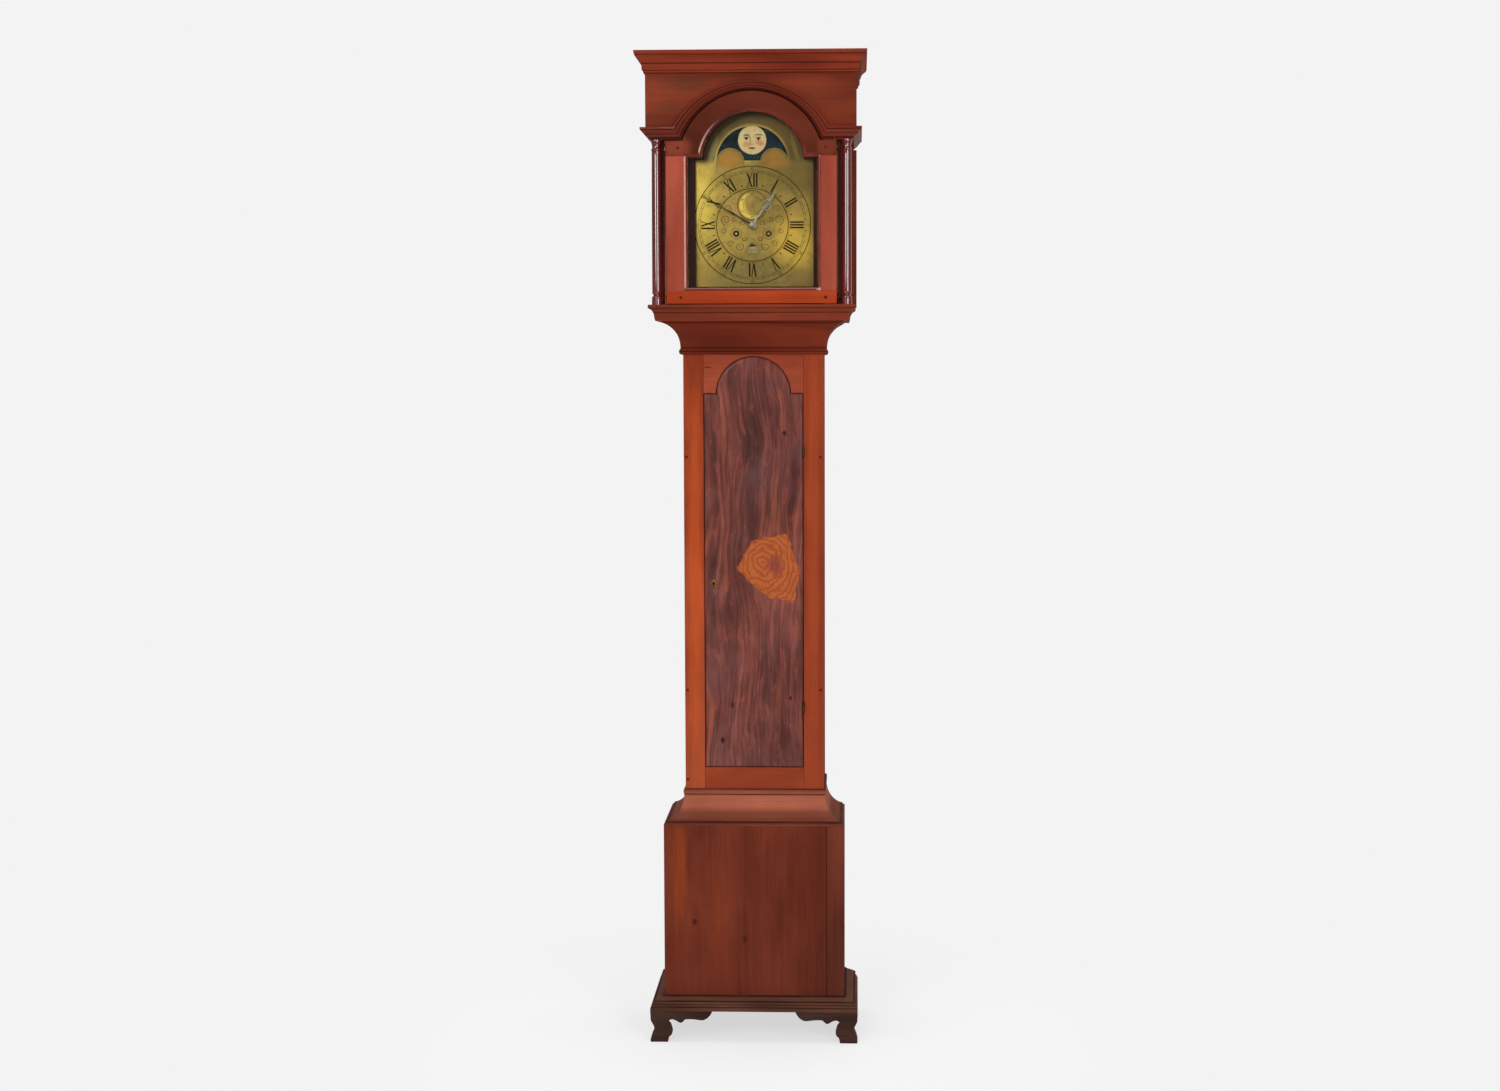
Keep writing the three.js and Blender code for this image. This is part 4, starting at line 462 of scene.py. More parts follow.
base_half, base_front, moulding_top = 215.0, -96.4, 106.0
# Dark lines along the moulding's fillets: old dirt and painted shade in its creases.
crease_dirt_and_shade = level((84.4, 1.4, 0.8), (90.5, 1.2, 0.7), (97, 1.4, 0.7), (105, 1.8, 0.85))
moulding_wood = polished_wood("base_moulding_mahogany", (74, 46, 38), (122, 78, 59), "map", streaks=0.7,
                              rough=0.42, shade=((26, 14, 11), crease_dirt_and_shade))
base_section = curved([[0, 0], [1, 0], [1, .2], [.93, .24], [.93, .36], [.83, .42], [.83, .68], [.76, .7],
                       [.68, .74], [.42, .84], [.2, .9], [.12, .94], [.12, 1], [0, 1]], 7, 11)
run_moulding("base_moulding_dressed", base_section, 32.5, foot_top, moulding_top, base_half, base_front,
             moulding_wood, "base_wood", "base_moulding")


# Base box. The front is a wide board and a narrow one, glued edge to edge with upright grain, and
# the joint has opened to a gap, dark with painted shade. The sides are plain boards.
def board(name, low, high, material, body, slot, replaced=(), bevel=0.8):
    """A straight board between two corners, with its edges worn round."""
    low, high = np.array(low, float), np.array(high, float)
    ring = np.array([[0, 0, 0], [1, 0, 0], [1, 1, 0], [0, 1, 0]], float)
    rings = np.stack([ring, ring + [0, 0, 1]]) * (high - low) + low
    return skinned(name, rings, material, body, slot, replaced, bevel=bevel)


base_top, base_joint, board_thick = 517.0, 173.7, 18.0
base_back = base_front + board_thick
# Lighter, redder patches towards the left of the base front.
orange_left_patches = near((-178, 400, 22, 160, 0.7), (-85, 300, 30, 200, 0.15))
knots = near((-142, 284, 7, 9, 0.8), (-22, 243, 7, 10, 0.8), (-20, 262, 10, 90, 0.25),
             (165, 200, 20, 160, 0.3))
base_wood = polished_wood("base_mahogany", (94, 42, 28), (118, 54, 37), "z", (0, 0.3, 0), figure=9,
                          glow=((142, 62, 30), orange_left_patches), shade=((62, 28, 22), knots))
narrow_wood = polished_wood("base_mahogany_narrow", (78, 38, 29), (116, 54, 40), "z", (0, 1.7, 0), figure=8)
side_wood = polished_wood("side_mahogany", (84, 40, 28), (122, 58, 41), "z", (2.1, 0.4, 0), figure=7)
board("base_front_wide", (-base_half, base_front, foot_top + 1), (base_joint - .5, base_back, base_top),
      base_wood, "case", "base_wood", ["base_front_board"])
board("base_front_narrow", (base_joint + .5, base_front + .6, foot_top + 1), (base_half, base_back, base_top),
      narrow_wood, "case", "base_wood")
# A dark strip behind the gap between the two boards: painted shade of the opened joint.
joint_gap_shade = polished_wood("joint_gap_shade", (26, 14, 11), (34, 18, 14), "z", coat=0.0)
board("base_joint_shade", (base_joint - .45, base_front + 2.2, foot_top + 1.5),
      (base_joint + .45, base_back - .5, base_top - .5), joint_gap_shade, "case", "base_wood", bevel=0)


def dress(material, *nodes):
    """The material goes into every slot of the CAD nodes."""
    for name in nodes:
        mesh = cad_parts[name].data
        mesh.materials.clear()
        mesh.materials.append(material)


dress(side_wood, "base_side_left", "base_side_right")


# Base cove: a deep hollow moulding that carries the narrow waist down to the wide base, with a
# dark square lip below and a bead above. Its hollow is painted lighter in a band: a painted highlight where
# it faces up to the light overhead.
waist_half, waist_front, cove_top = 166.0, -47.4, 598.0
# Dark lines along the cove's fillets: old dirt and painted shade in its creases.
crease_dirt_and_shade = level((524.5, 1.8, 0.85), (584, 1.8, 0.8), (596.5, 1.6, 0.7))
cove_wood = polished_wood("cove_mahogany", (100, 50, 37), (136, 72, 53), "map", figure=6, streaks=0.4,
                          rough=0.36, glow=((182, 104, 80), level((568, 22, 0.72))),
                          shade=((44, 22, 18), crease_dirt_and_shade))
cove_section = curved([[0, 0], [1, 0], [1, .035], [.93, .06], [.89, .06], [.89, .1], [.76, .115],
                       [.6, .16], [.46, .225], [.33, .31], [.22, .41], [.14, .53], [.09, .66], [.07, .8],
                       [.07, .84], [.1, .87], [.1, .95], [.06, 1], [0, 1]], 5, 13)
run_moulding("base_cove_dressed", cove_section, 49.0, base_top, cove_top, waist_half, waist_front, cove_wood,
             "base_wood", "base_cove_moulding")


# Backboard: one rough pine board from the base to the top of the hood, unvarnished and greyed,
# nailed behind the sides.
def plain_pine(name, deep, fair, along, shift=(0, 0, 0)):
    """Unvarnished old softwood: wide pale bands, dark late-wood lines, and dust."""
    material, tree, shader = new_material(name, 0.8)
    place = grain_place(tree, along, shift)
    rings = node(tree, "TexWave", {"Vector": scaled(tree, place, (0.7, 22, 22)), "Scale": 1.6,
                                   "Distortion": 5.0, "Detail": 3.0, "Detail Scale": 0.8},
                 wave_type="BANDS", bands_direction="Y").outputs["Fac"]
    colour = mixed(tree, ranged(tree, rings, 0.25, 0.95), linear(*fair), linear(*deep))
    dust = noise(tree, place, 9.0, 4.0, 0.65)
    colour = mixed(tree, ranged(tree, dust, 0.4, 0.75, 0.0, 0.5), colour, linear(120, 104, 86))
    painted(tree, shader, colour, rings, 0.25, 0.001)
    return material


back_pine = plain_pine("backboard_pine", (122, 84, 50), (160, 122, 82), "z")
dress(back_pine, "backboard")


# Waist front: two upright stiles with a rail below the door and a deep rail above it, tenoned and
# pegged, in a redder wood than the base. The upper rail is sawn to the door's arch and has a crack.
def arched(shift, half, low, shoulder, centre, radius, grow=0.0, counts=(30, 60, 6, 60)):
    """Points of a rectangle with shoulders and a round arch on top, grown outwards by grow: the
    bottom, the right side, the right shoulder, the arch, the left shoulder and the left side, with
    as many steps as counts says for bottom, side, shoulder and arch."""
    foot = math.asin((shoulder + grow - centre) / (radius + grow))
    bottom, side, flat, bend = counts
    right, left, floor_line, top = shift + half + grow, shift - half - grow, low - grow, shoulder + grow
    reach = (radius + grow) * math.cos(foot)

    def line(start, end, steps):
        """Points of a straight line without its end."""
        return np.linspace(start, end, steps, endpoint=False)

    turn = line(foot, math.pi - foot, bend)
    return np.concatenate([
        line((left, floor_line), (right, floor_line), bottom), line((right, floor_line), (right, top), side),
        line((right, top), (shift + reach, top), flat),
        np.stack([shift + (radius + grow) * np.cos(turn), centre + (radius + grow) * np.sin(turn)], 1),
        line((shift - reach, top), (left, top), flat), line((left, top), (left, floor_line), side)])


def upright(outline, deep):
    """Points (x, deep, z) of a flat outline (x, z)."""
    return np.stack([outline[:, 0], np.full(len(outline), float(deep)), outline[:, 1]], -1)


def panel(name, outline, front, rear, material, body, slot, replaced=(), bevel=0.6):
    """A flat board sawn to an outline (x, z)."""
    rings = np.stack([upright(outline, front), upright(outline, rear)])
    return skinned(name, rings, material, body, slot, replaced, bevel=bevel)


peg_radius, peg_high, peg_root, peg_proud = 3.6, 0.96, 3.0, 0.4


def pegs(name, places, front, material, body):
    """Round pins' ends: flat discs with a worn edge that stand a little proud of the face."""
    turn = around(16)
    points, faces = [], []
    for x, z in places:
        disc = np.stack([x + peg_radius * np.cos(turn), z + peg_radius * peg_high * np.sin(turn)], 1)
        rings = np.stack([upright(disc, front + peg_root), upright(disc, front - peg_proud + .15),
                          upright((disc - (x, z)) * 0.85 + (x, z), front - peg_proud)])
        found, _ = looped(rings)
        count = sum(len(part) for part in points)
        faces += [[corner + count for corner in face] for face in found]
        points.append(rings.reshape(-1, 3))
    return finished(name, np.concatenate(points), faces, material, body)


waist_foot, throat_bottom, throat_top, stile_inner, waist_board = 470.0, 1636.0, 1714.0, 118.2, 16.0
door_shape = (0.0, 117.2, 650.5, 1544.0, 1543.0, 88.0)
# The left stile's copy of the wood is painted lighter, with a stronger bright patch, than the right's:
# painted light from the left.
stile_left_wood = polished_wood("stile_left_wood", (132, 54, 32), (170, 80, 48), "z", (0, 0, .1), figure=6,
                                streaks=.45, glow=((184, 80, 38), near((-141, 1160, 24, 520, .7))))
stile_right_wood = polished_wood("stile_right_wood", (124, 51, 31), (160, 70, 42), "z", (.2, .6, 0),
                                 figure=6, streaks=.45, glow=((172, 76, 42), near((141, 1200, 20, 560, .45))))
rail_wood = polished_wood("rail_wood", (120, 49, 29), (154, 70, 42), "x", (0, .5, .3), figure=6,
                          streaks=.45)
crack = near((-108, 1606, 13, 1.6, .9), (-126, 1604, 8, 1.2, .7))
head_wood = polished_wood("waist_head_wood", (140, 62, 42), (172, 86, 56), "x", (.7, .2, 0), figure=6,
                          streaks=.45, glow=((52, 26, 20), crack))
waist_back = waist_front + waist_board
for name, side, wood in (("left", -1, stile_left_wood), ("right", 1, stile_right_wood)):
    low, high = sorted((side * stile_inner, side * waist_half))
    board(f"waist_stile_{name}", (low + (side > 0) * .3, waist_front, waist_foot),
          (high - (side < 0) * .3, waist_back, throat_top), wood, "case", "waist_wood",
          ["waist_front_frame"] if side < 0 else ())
board("waist_rail_low", (-stile_inner, waist_front + .2, waist_foot),
      (stile_inner, waist_back, door_shape[2] - 1), rail_wood, "case", "waist_wood")
opening = arched(*door_shape, grow=1.0, counts=(1, 1, 1, 48))
head = np.concatenate([[(stile_inner, throat_top), (-stile_inner, throat_top)], opening[:1:-1]])
panel("waist_rail_high", head, waist_front + .2, waist_back, head_wood, "case", "waist_wood")
peg_wood = polished_wood("peg_wood", (70, 30, 22), (96, 44, 30), "y", figure=10, rough=.5)
pegs("waist_pegs", [(-159.3, 1393.8), (-160.3, 836), (-160.3, 620), (158.6, 1393.5), (158.6, 836.8)],
     waist_front, peg_wood, "case")


# Waist sides: one board each from the base to the seat board, which their upper ends carry.
waist_side_wood = polished_wood("waist_side_wood", (120, 52, 35), (160, 76, 50), "z", (1.1, .2, 0),
                                figure=6)
dress(waist_side_wood, "waist_side_left", "waist_side_right")


# Waist door: one wide crotch-figured board with a smoky dark heart, knots and a patch of orange
# sapwood. Its edge is run with a small ovolo, it fills its opening, and it hangs on two butt hinges.
door_front, door_back, door_edge = -50.8, -32.2, 7.0
door_counts = (84, 180, 8, 68)
edge_shares = smooth_line([[-1, 0], [-.5, .1], [-.16, .42], [0, 1]], 3)
door_rings = np.stack([upright(arched(*door_shape, grow=grow * door_edge, counts=door_counts),
                               door_front + deep * door_edge) for grow, deep in edge_shares]
                      + [upright(arched(*door_shape, counts=door_counts), door_back)])
outline = arched(*door_shape, grow=-door_edge, counts=door_counts)
bottom, side, flat, bend = door_counts
bottom_row = outline[:bottom + 1, 0]
arch_start = bottom + side + flat
arch_row = outline[arch_start:arch_start + bend + 1][::-1]
columns = np.concatenate([np.linspace(outline[0, 0], arch_row[0, 0], flat, endpoint=False), arch_row[:, 0],
                          np.linspace(arch_row[-1, 0], outline[bottom, 0], flat + 1)[1:]])
low_z, top_z = outline[0, 1], outline[bottom + side, 1]
rise = np.linspace(0, 1, side + 1)[:, None]
lower = np.stack(np.broadcast_arrays(bottom_row + (columns - bottom_row) * rise,
                                     low_z + (top_z - low_z) * rise), -1)
lift = np.linspace(0, 1, 22)[:, None]
upper = np.stack(np.broadcast_arrays(arch_row[:, 0], top_z + (arch_row[:, 1] - top_z) * lift), -1)


def sheet_quads(rows, columns, start):
    """Quads of a grid of points (rows, columns) that starts at a point number."""
    a = (np.arange(rows - 1)[:, None] * columns + np.arange(columns - 1)[None, :]).ravel() + start
    return np.stack([a, a + 1, a + columns + 1, a + columns], 1).tolist()


ring_faces, _ = looped(door_rings, ends=False)
ring_points = door_rings.reshape(-1, 3)
back_ring = list(range(len(ring_points) - len(outline), len(ring_points)))
door_points = np.concatenate([ring_points, upright(lower.reshape(-1, 2), door_front),
                              upright(upper.reshape(-1, 2), door_front)])
door_faces = (ring_faces + [back_ring]
              + sheet_quads(*lower.shape[:2], len(ring_points))
              + sheet_quads(*upper.shape[:2], len(ring_points) + lower.shape[0] * lower.shape[1]))


def door_wood():
    """Smoky figured board. Wavy figure comes from streaks whose place is bent by slow noise; dark
    spots, knots and the ringed sapwood patch are laid over it."""
    material, tree, shader = new_material("figured_door", .36, coat=.2, coat_rough=.12)
    place = node(tree, "TexCoord").outputs["Object"]
    slow = node(tree, "TexNoise", {"Vector": scaled(tree, place, (8, 8, 3)), "Scale": 1.0,
                                   "Detail": 2.0}).outputs["Color"]
    bent = node(tree, "VectorMath", {0: slow, 1: (-.5, -.5, -.5)}, operation="ADD").outputs[0]
    bent = node(tree, "VectorMath", {0: bent, 1: (.1, 0, .06), 2: place}, operation="MULTIPLY_ADD").outputs[0]
    lines = scaled(tree, bent, (120, 0, 5))
    figure = noise(tree, lines, 1.0, 5.0, .6)
    broad = noise(tree, scaled(tree, bent, (22, 0, 2.4)), 1.0, 3.0)
    colour = mixed(tree, ranged(tree, broad, .34, .66), linear(88, 49, 46), linear(138, 78, 68))
    colour = mixed(tree, ranged(tree, figure, .35, .62, .75, 0), colour, linear(62, 32, 30))
    ember = ranged(tree, noise(tree, lines, .43, 3.0), .56, .72, 0, .55)
    colour = mixed(tree, ember, colour, linear(158, 82, 56))
    smoke = near((-2, 1420, 34, 190, .8), (2, 1250, 26, 120, .6), (-100, 1060, 14, 230, .55),
                 (-92, 1420, 12, 120, .35), (70, 1330, 16, 150, .3), (30, 880, 20, 200, .3))(tree)
    colour = mixed(tree, smoke, colour, linear(56, 36, 36))
    mottle = noise(tree, scaled(tree, bent, (62, 0, 17)), 1.0, 6.0, .68)
    colour = mixed(tree, ranged(tree, mottle, .5, .66, 0, .5), colour, linear(66, 44, 40))
    colour = mixed(tree, ranged(tree, mottle, .34, .46, .4, 0), colour, linear(156, 82, 62))
    # Pale pinkish-grey clouds over the board: painted sheen of the varnish.
    painted_sheen = ranged(tree, noise(tree, place, 9.0, 3.0), .45, .75, 0, .3)
    colour = mixed(tree, painted_sheen, colour, linear(128, 88, 88))
    eyes = near((73.7, 1450, 7, 9, .9), (86.6, 817.8, 6, 8, .9), (-76.6, 715.7, 7, 9, .9),
                (-52.3, 800.5, 6, 10, .7))(tree)
    colour = mixed(tree, eyes, colour, linear(40, 26, 26))
    inside = node(tree, "Attribute", attribute_name="sapwood").outputs["Fac"]
    ragged = noise(tree, place, 52.0, 6.0, .72)
    pale = ranged(tree, maths(tree, "MULTIPLY_ADD", ragged, 26.0, inside), 11.6, 14.6, 0, .93)
    heart = node(tree, "Mapping", {"Vector": place, "Location": (-.0215, 0, -.936),
                                   "Scale": (1.0, 0, .82)}).outputs[0]
    rings = node(tree, "TexWave", {"Vector": heart, "Scale": 26.0, "Distortion": 8.5, "Detail": 5.0,
                                   "Detail Scale": 1.8}, wave_type="RINGS", rings_direction="Y")
    sap = mixed(tree, ranged(tree, rings.outputs["Fac"], 0, .7), linear(146, 72, 39), linear(172, 90, 46))
    sap = mixed(tree, near((50, 1136, 30, 30, .8))(tree), sap, linear(124, 58, 52))
    stains = ranged(tree, noise(tree, place, 44.0, 6.0, .7), .48, .68, 0, .6)
    sap = mixed(tree, stains, sap, linear(130, 58, 36))
    painted(tree, shader, mixed(tree, pale, colour, sap), figure, .1, .0006)
    return material


door = finished("waist_door_dressed", door_points, door_faces, door_wood(), "waist_door",
                ["waist_door"], smooth=30)

# Sapwood patch: its outline, and in the attribute the distance in millimetres of each point from
# it, more than nothing inside.
patch = np.array([(-39, 1129.7), (-18, 1172), (-.6, 1196.5), (30, 1203), (77.9, 1213.3), (92, 1170),
                  (108, 1128), (106, 1096.4), (98, 1060), (94.2, 1041.3), (84, 1052), (44.2, 1058),
                  (8.5, 1077.1), (-20, 1108.2)])
spots = np.empty(len(door.data.vertices) * 3)
door.data.vertices.foreach_get("co", spots)
spots = spots.reshape(-1, 3)[:, [0, 2]] * 1000
start, end = patch, np.roll(patch, -1, 0)
run = end - start
share = np.clip(((spots[:, None] - start) * run).sum(2) / (run ** 2).sum(1), 0, 1)
gap = np.linalg.norm(spots[:, None] - start - share[..., None] * run, axis=2).min(1)
above = (start[:, 1] > spots[:, 1:]) != (end[:, 1] > spots[:, 1:])
with np.errstate(divide="ignore", invalid="ignore"):
    cross = start[:, 0] + (spots[:, 1:] - start[:, 1]) * run[:, 0] / run[:, 1]
within = ((above & (spots[:, :1] < cross)).sum(1) % 2) == 1
layer = door.data.attributes.new("sapwood", "FLOAT", "POINT")
layer.data.foreach_set("value", np.where(within, gap, -gap).astype(np.float32))


# Keyhole plate and door hinges: a small oval of dull brass pinned on the door's left, and two
# dark brass butts whose knuckles stand in the joint on the right.
def aged_metal(name, bright, dark, rough, metal=.9, grime=.6, scale=60.0):
    """Old metal: a bright and a dark tarnished colour in clouds and fine scratches."""
    material, tree, shader = new_material(name, rough, metal)
    place = node(tree, "TexCoord").outputs["Object"]
    cloud = noise(tree, place, scale, 5.0, .62)
    fleck = noise(tree, place, scale * 14, 3.0, .7)
    both = maths(tree, "MULTIPLY_ADD", fleck, .35, cloud)
    colour = mixed(tree, ranged(tree, both, .5, .85, 0, grime), linear(*bright), linear(*dark))
    painted(tree, shader, colour, fleck, .06, .0003, ranged(tree, both, .4, .9, rough - .06, rough + .2))
    return material


dull_brass = aged_metal("dull_brass", (150, 118, 66), (70, 50, 32), .42)
key_place, plate_half, plate_tall, plate_thick = np.array([-96.4, 1092.0]), 5.8, 9.6, .9
round_radius, round_up, slit_half, slit_low = 2.7, 1.4, 1.5, 6.8
turn = around(48)
oval = np.stack([plate_half * np.cos(turn), plate_tall * np.sin(turn)], 1)
slit_side = slit_half / np.maximum(np.abs(np.cos(turn)), 1e-6)
slit_end = slit_low / np.clip(-np.sin(turn), 1e-6, 1)
reach = np.maximum(round_radius, np.where(np.sin(turn) < 0, np.minimum(slit_side, slit_end), 0))
keyhole = np.stack([reach * np.cos(turn), round_up + reach * np.sin(turn)], 1)
plate_rings = np.stack([upright(shape * grow + key_place, door_front - proud) for shape, grow, proud in (
    (oval, 1, 0), (oval, 1, .55), (oval, .93, plate_thick), (keyhole, 1, plate_thick), (keyhole, 1, 0))])
skinned("keyhole_plate", plate_rings, dull_brass, "waist_door", "case_brass", ["door_escutcheon"], smooth=40,
        close_path=True)
# The keyhole is a dark sheet on the door's face, not a hole: painted shade of the opening.
hollow = aged_metal("keyhole_dark", (14, 10, 8), (10, 8, 6), .8, 0)
panel("keyhole_hollow", keyhole * 1.02 + key_place, door_front - .3, door_front + .3, hollow, "waist_door",
      "case_brass")
hinge_brass = aged_metal("hinge_brass", (92, 66, 44), (44, 30, 24), .5)
dress(hinge_brass, "waist_hinge_upper", "waist_hinge_lower")


# Throat: the large hollow moulding under the hood, with a bead where it meets the waist.
# Dark lines along the throat's fillets: old dirt and painted shade in its creases.
crease_dirt_and_shade = level((1643, 1.6, .8), (1652, 1.6, .7), (1709.5, 1.4, .7))
throat_wood = polished_wood("throat_mahogany", (94, 37, 24), (136, 56, 33), "map", figure=6, streaks=.4,
                            shade=((44, 18, 14), crease_dirt_and_shade))
throat_section = curved([[0, 0], [.1, 0], [.17, .03], [.19, .08], [.19, .11], [.15, .16], [.12, .18],
                         [.12, .22], [.13, .3], [.155, .4], [.2, .5], [.27, .6], [.37, .69], [.5, .78],
                         [.66, .86], [.86, .93], [.9, .93], [.92, .96], [1, .965], [1, 1], [0, 1]], 7, 15)
run_moulding("throat_dressed", throat_section, 47.0, throat_bottom, throat_top, waist_half, waist_front,
             throat_wood, "waist_wood", "throat_moulding")


# Seat board: a pine board across the tops of the waist sides. The movement stands on it, and the
# lines pass through holes in it.
seat_pine = plain_pine("seat_pine", (128, 88, 52), (168, 128, 86), "x", (.4, 0, 0))
dress(seat_pine, "seatboard")


# Movement: two cast brass plates and five brass wheels on steel arbors. The CAD solids are the
# shapes; the plates are hammered and filed brass, the wheels brighter at their teeth.
plate_brass = aged_metal("plate_brass", (176, 138, 72), (108, 78, 40), .36, grime=.7, scale=35)
wheel_brass = aged_metal("wheel_brass", (188, 150, 80), (116, 86, 44), .32, grime=.6, scale=90)
arbor_steel = aged_metal("arbor_steel", (150, 150, 152), (84, 78, 72), .34, grime=.5, scale=80)
dress(plate_brass, "front_plate", "back_plate")
dress(wheel_brass, "cannon_wheel", "minute_wheel", "hour_wheel", "third_wheel", "centre_wheel",
      "going_great_wheel", "escape_wheel")
dress(arbor_steel, "anchor", "strike_hammer")


# Barrels: brass drums between two flanges on a steel arbor, turned with a shallow groove for the
# gut line. With the weights part of the way down, twelve and a half turns lie on each.
def turned_up(name, profile, centre, material, body, slot, replaced=(), steps=64, smooth=35, axis="z"):
    """A turned piece: a profile (radius, height) carried round an upright axis through centre, or
    (radius, depth) round an axis along y. The map runs along the axis and round the piece."""
    profile = np.asarray(profile, float)
    turn, radius = around(steps)[None, :], profile[:, :1]
    along = np.broadcast_to(profile[:, 1:], (len(profile), steps))
    across, aside = radius * np.cos(turn), radius * np.sin(turn)
    rings = np.stack((across, aside, along) if axis == "z" else (across, along, aside), -1) + centre
    return skinned(name, rings, material, body, slot, replaced, smooth, ends=False)


def tube(path, radius, sides=8):
    """Closed rings of a round tube along a path (n, 3). Each ring stands square to the path. Its
    first direction is that of the ring before it, made square again, so the rings go one by one."""
    path = np.asarray(path, float)
    ahead = np.gradient(path, axis=0)
    ahead /= np.linalg.norm(ahead, axis=1)[:, None]
    side = np.empty_like(path)
    first = np.cross(ahead[0], (0, 1, 0) if abs(ahead[0, 1]) < .9 else (1, 0, 0))
    side[0] = first / np.linalg.norm(first)
    for step in range(1, len(path)):
        carried = side[step - 1] - ahead[step] * (side[step - 1] @ ahead[step])
        side[step] = carried / np.linalg.norm(carried)
    up = np.cross(ahead, side)
    turn = around(sides)[None, :, None]
    return path[:, None] + radius * (np.cos(turn) * side[:, None] + np.sin(turn) * up[:, None])


def gut_material():
    """Twisted gut line: amber, with a fine twist along it that the map's two directions give."""
    material, tree, shader = new_material("gut_line", .45)
    coords = node(tree, "TexCoord")
    twist = node(tree, "Mapping", {"Vector": coords.outputs["UV"], "Scale": (420, 420, 0),
                                   "Rotation": (0, 0, .6)}).outputs[0]
    lay = node(tree, "TexWave", {"Vector": twist, "Scale": 1.0, "Distortion": .6}).outputs["Fac"]
    painted(tree, shader, mixed(tree, lay, linear(150, 116, 66), linear(206, 176, 116)), lay, .5, .0003)
    return material


gut = gut_material()
dial_z, barrel_x, barrel_drop, drum = 1937.5, 38.0, 20.0, 21.0
barrel_z = dial_z - barrel_drop
windings, wound_steps, wound_pitch, wound_radius, wound_front = 12.5, 301, 2.3, .75, -2.6
dress(wheel_brass, "going_barrel", "strike_barrel")
for name, x in (("going", barrel_x), ("strike", -barrel_x)):
    wind = np.linspace(0, windings, wound_steps)
    angle = np.pi + 2 * np.pi * wind
    path = np.stack([x + (drum + wound_radius) * np.cos(angle), wound_front - wind * wound_pitch,
                     barrel_z + (drum + wound_radius) * np.sin(angle)], 1)
    skinned(f"{name}_winding", tube(path, wound_radius, 6), gut, f"{name}_barrel", "gut", smooth=60)


# Bell: a cast bell-metal bowl, mouth down, screwed to an iron stand on the back plate.
bell_metal = aged_metal("bell_metal", (176, 150, 92), (108, 92, 56), .24, grime=.5, scale=40)
bell_x, bell_y, bell_low, bell_high, bell_radius, bell_wall = 0.0, 19.5, 2029.5, 2067.5, 46.0, 2.5
outer = smooth_line([[1, 0], [.97, .12], [.93, .35], [.84, .62], [.66, .85], [.4, .97], [0, 1]], 6)
outer = outer * [bell_radius, bell_high - bell_low] + [0, bell_low]
inner = outer[::-1] * [(bell_radius - bell_wall) / bell_radius, 1] - [0, bell_wall]
inner[-1, 1] = bell_low
bead = [[bell_radius - .8, bell_low - .3], [bell_radius + .6, bell_low + .6],
        [bell_radius + .5, bell_low + 2.2], [bell_radius * .985, bell_low + 3.2]]
shell = np.concatenate([bead, outer[3:], inner[:-1], [[bell_radius - bell_wall, bell_low],
                                                     [bell_radius - .8, bell_low - .3]]])
turned_up("bell_bowl", shell, (bell_x, bell_y, 0), bell_metal, "case", "bell_metal", ["bell"], steps=96)
turned_up("bell_screw", [[0, 2066], [5.2, 2066.4], [5.2, 2068.2], [4.3, 2068.8], [2, 2068.8], [2, 2070],
                         [4.4, 2071.6], [4.4, 2075.6], [3.6, 2076.5], [2, 2076.9], [2, 2079.5], [0, 2080]],
          (bell_x, bell_y, 0), arbor_steel, "case", "steel", steps=32)
stand = smooth_line([[54.5, bell_y, 1977.5], [54.5, bell_y, 2040], [54.5, bell_y, 2066],
                     [52, bell_y, 2073.5], [46, bell_y, 2077.2], [38, bell_y, 2078], [4, bell_y, 2078],
                     [-4, bell_y, 2078]], 6)
ahead = np.gradient(stand, axis=0)
ahead /= np.linalg.norm(ahead, axis=1)[:, None]
out = np.cross(ahead, (0, 1, 0))
wide = np.interp(stand[:, 2], [1977.5, 2060, 2078], [4.5, 2.6, 2.0])[:, None]
rings = np.stack([stand + side * out * wide + (0, deep, 0)
                  for side, deep in ((1, -1.5), (-1, -1.5), (-1, 1.5), (1, 1.5))], 1)
skinned("bell_stand", rings, arbor_steel, "case", "steel", smooth=30, bevel=.3)


# Pendulum: a steel rod on a thin spring, with a lead-filled brass bob like a lens and a rating
# nut below it. Its beat is one second, so it hangs 994 mm below its bend.
rod_x, rod_y, rod_low, rod_high = 0.0, 40.0, 933.5, 2002.5
bob_z, bob_radius, bob_half, nut_low, nut_high = 1013.5, 57.0, 12.5, 949.2, 956.2
bob_brass = aged_metal("bob_brass", (190, 152, 84), (120, 88, 46), .3, grime=.55, scale=45)
rod_radius, thread_deep, thread_pitch = 1.5, .28, .9
thread = np.linspace(rod_low, nut_high + 16, 90)
thread = np.stack([rod_radius + thread_deep * np.sin(thread * 2 * np.pi / thread_pitch), thread], 1)
profile = np.concatenate([[[0, rod_low - .4]], thread, [[rod_radius, nut_high + 17], [rod_radius, rod_high],
                                                        [0, rod_high]]])
turned_up("pendulum_stem", profile, (rod_x, rod_y, 0), arbor_steel, "pendulum", "steel", ["pendulum_rod"],
          steps=16)
board("pendulum_spring", (-3.2, rod_y - .1, rod_high), (3.2, rod_y + .1, rod_high + 18.6), arbor_steel,
      "pendulum", "steel", bevel=0)
block_low, block_high = 2021.0, 2026.0
board("pendulum_block", (-5, rod_y - 3.5, block_low), (5, rod_y + 3.5, block_high), wheel_brass, "pendulum",
      "case_brass", bevel=.5)
swell = np.linspace(-np.pi / 2, np.pi / 2, 41)
lens = np.stack([bob_radius * np.cos(swell), rod_y + bob_half * np.sin(swell)], 1)
lens[:, 0] = np.where(lens[:, 0] > bob_radius - 1.4, bob_radius, lens[:, 0])
lens[[0, -1], 0] = 0
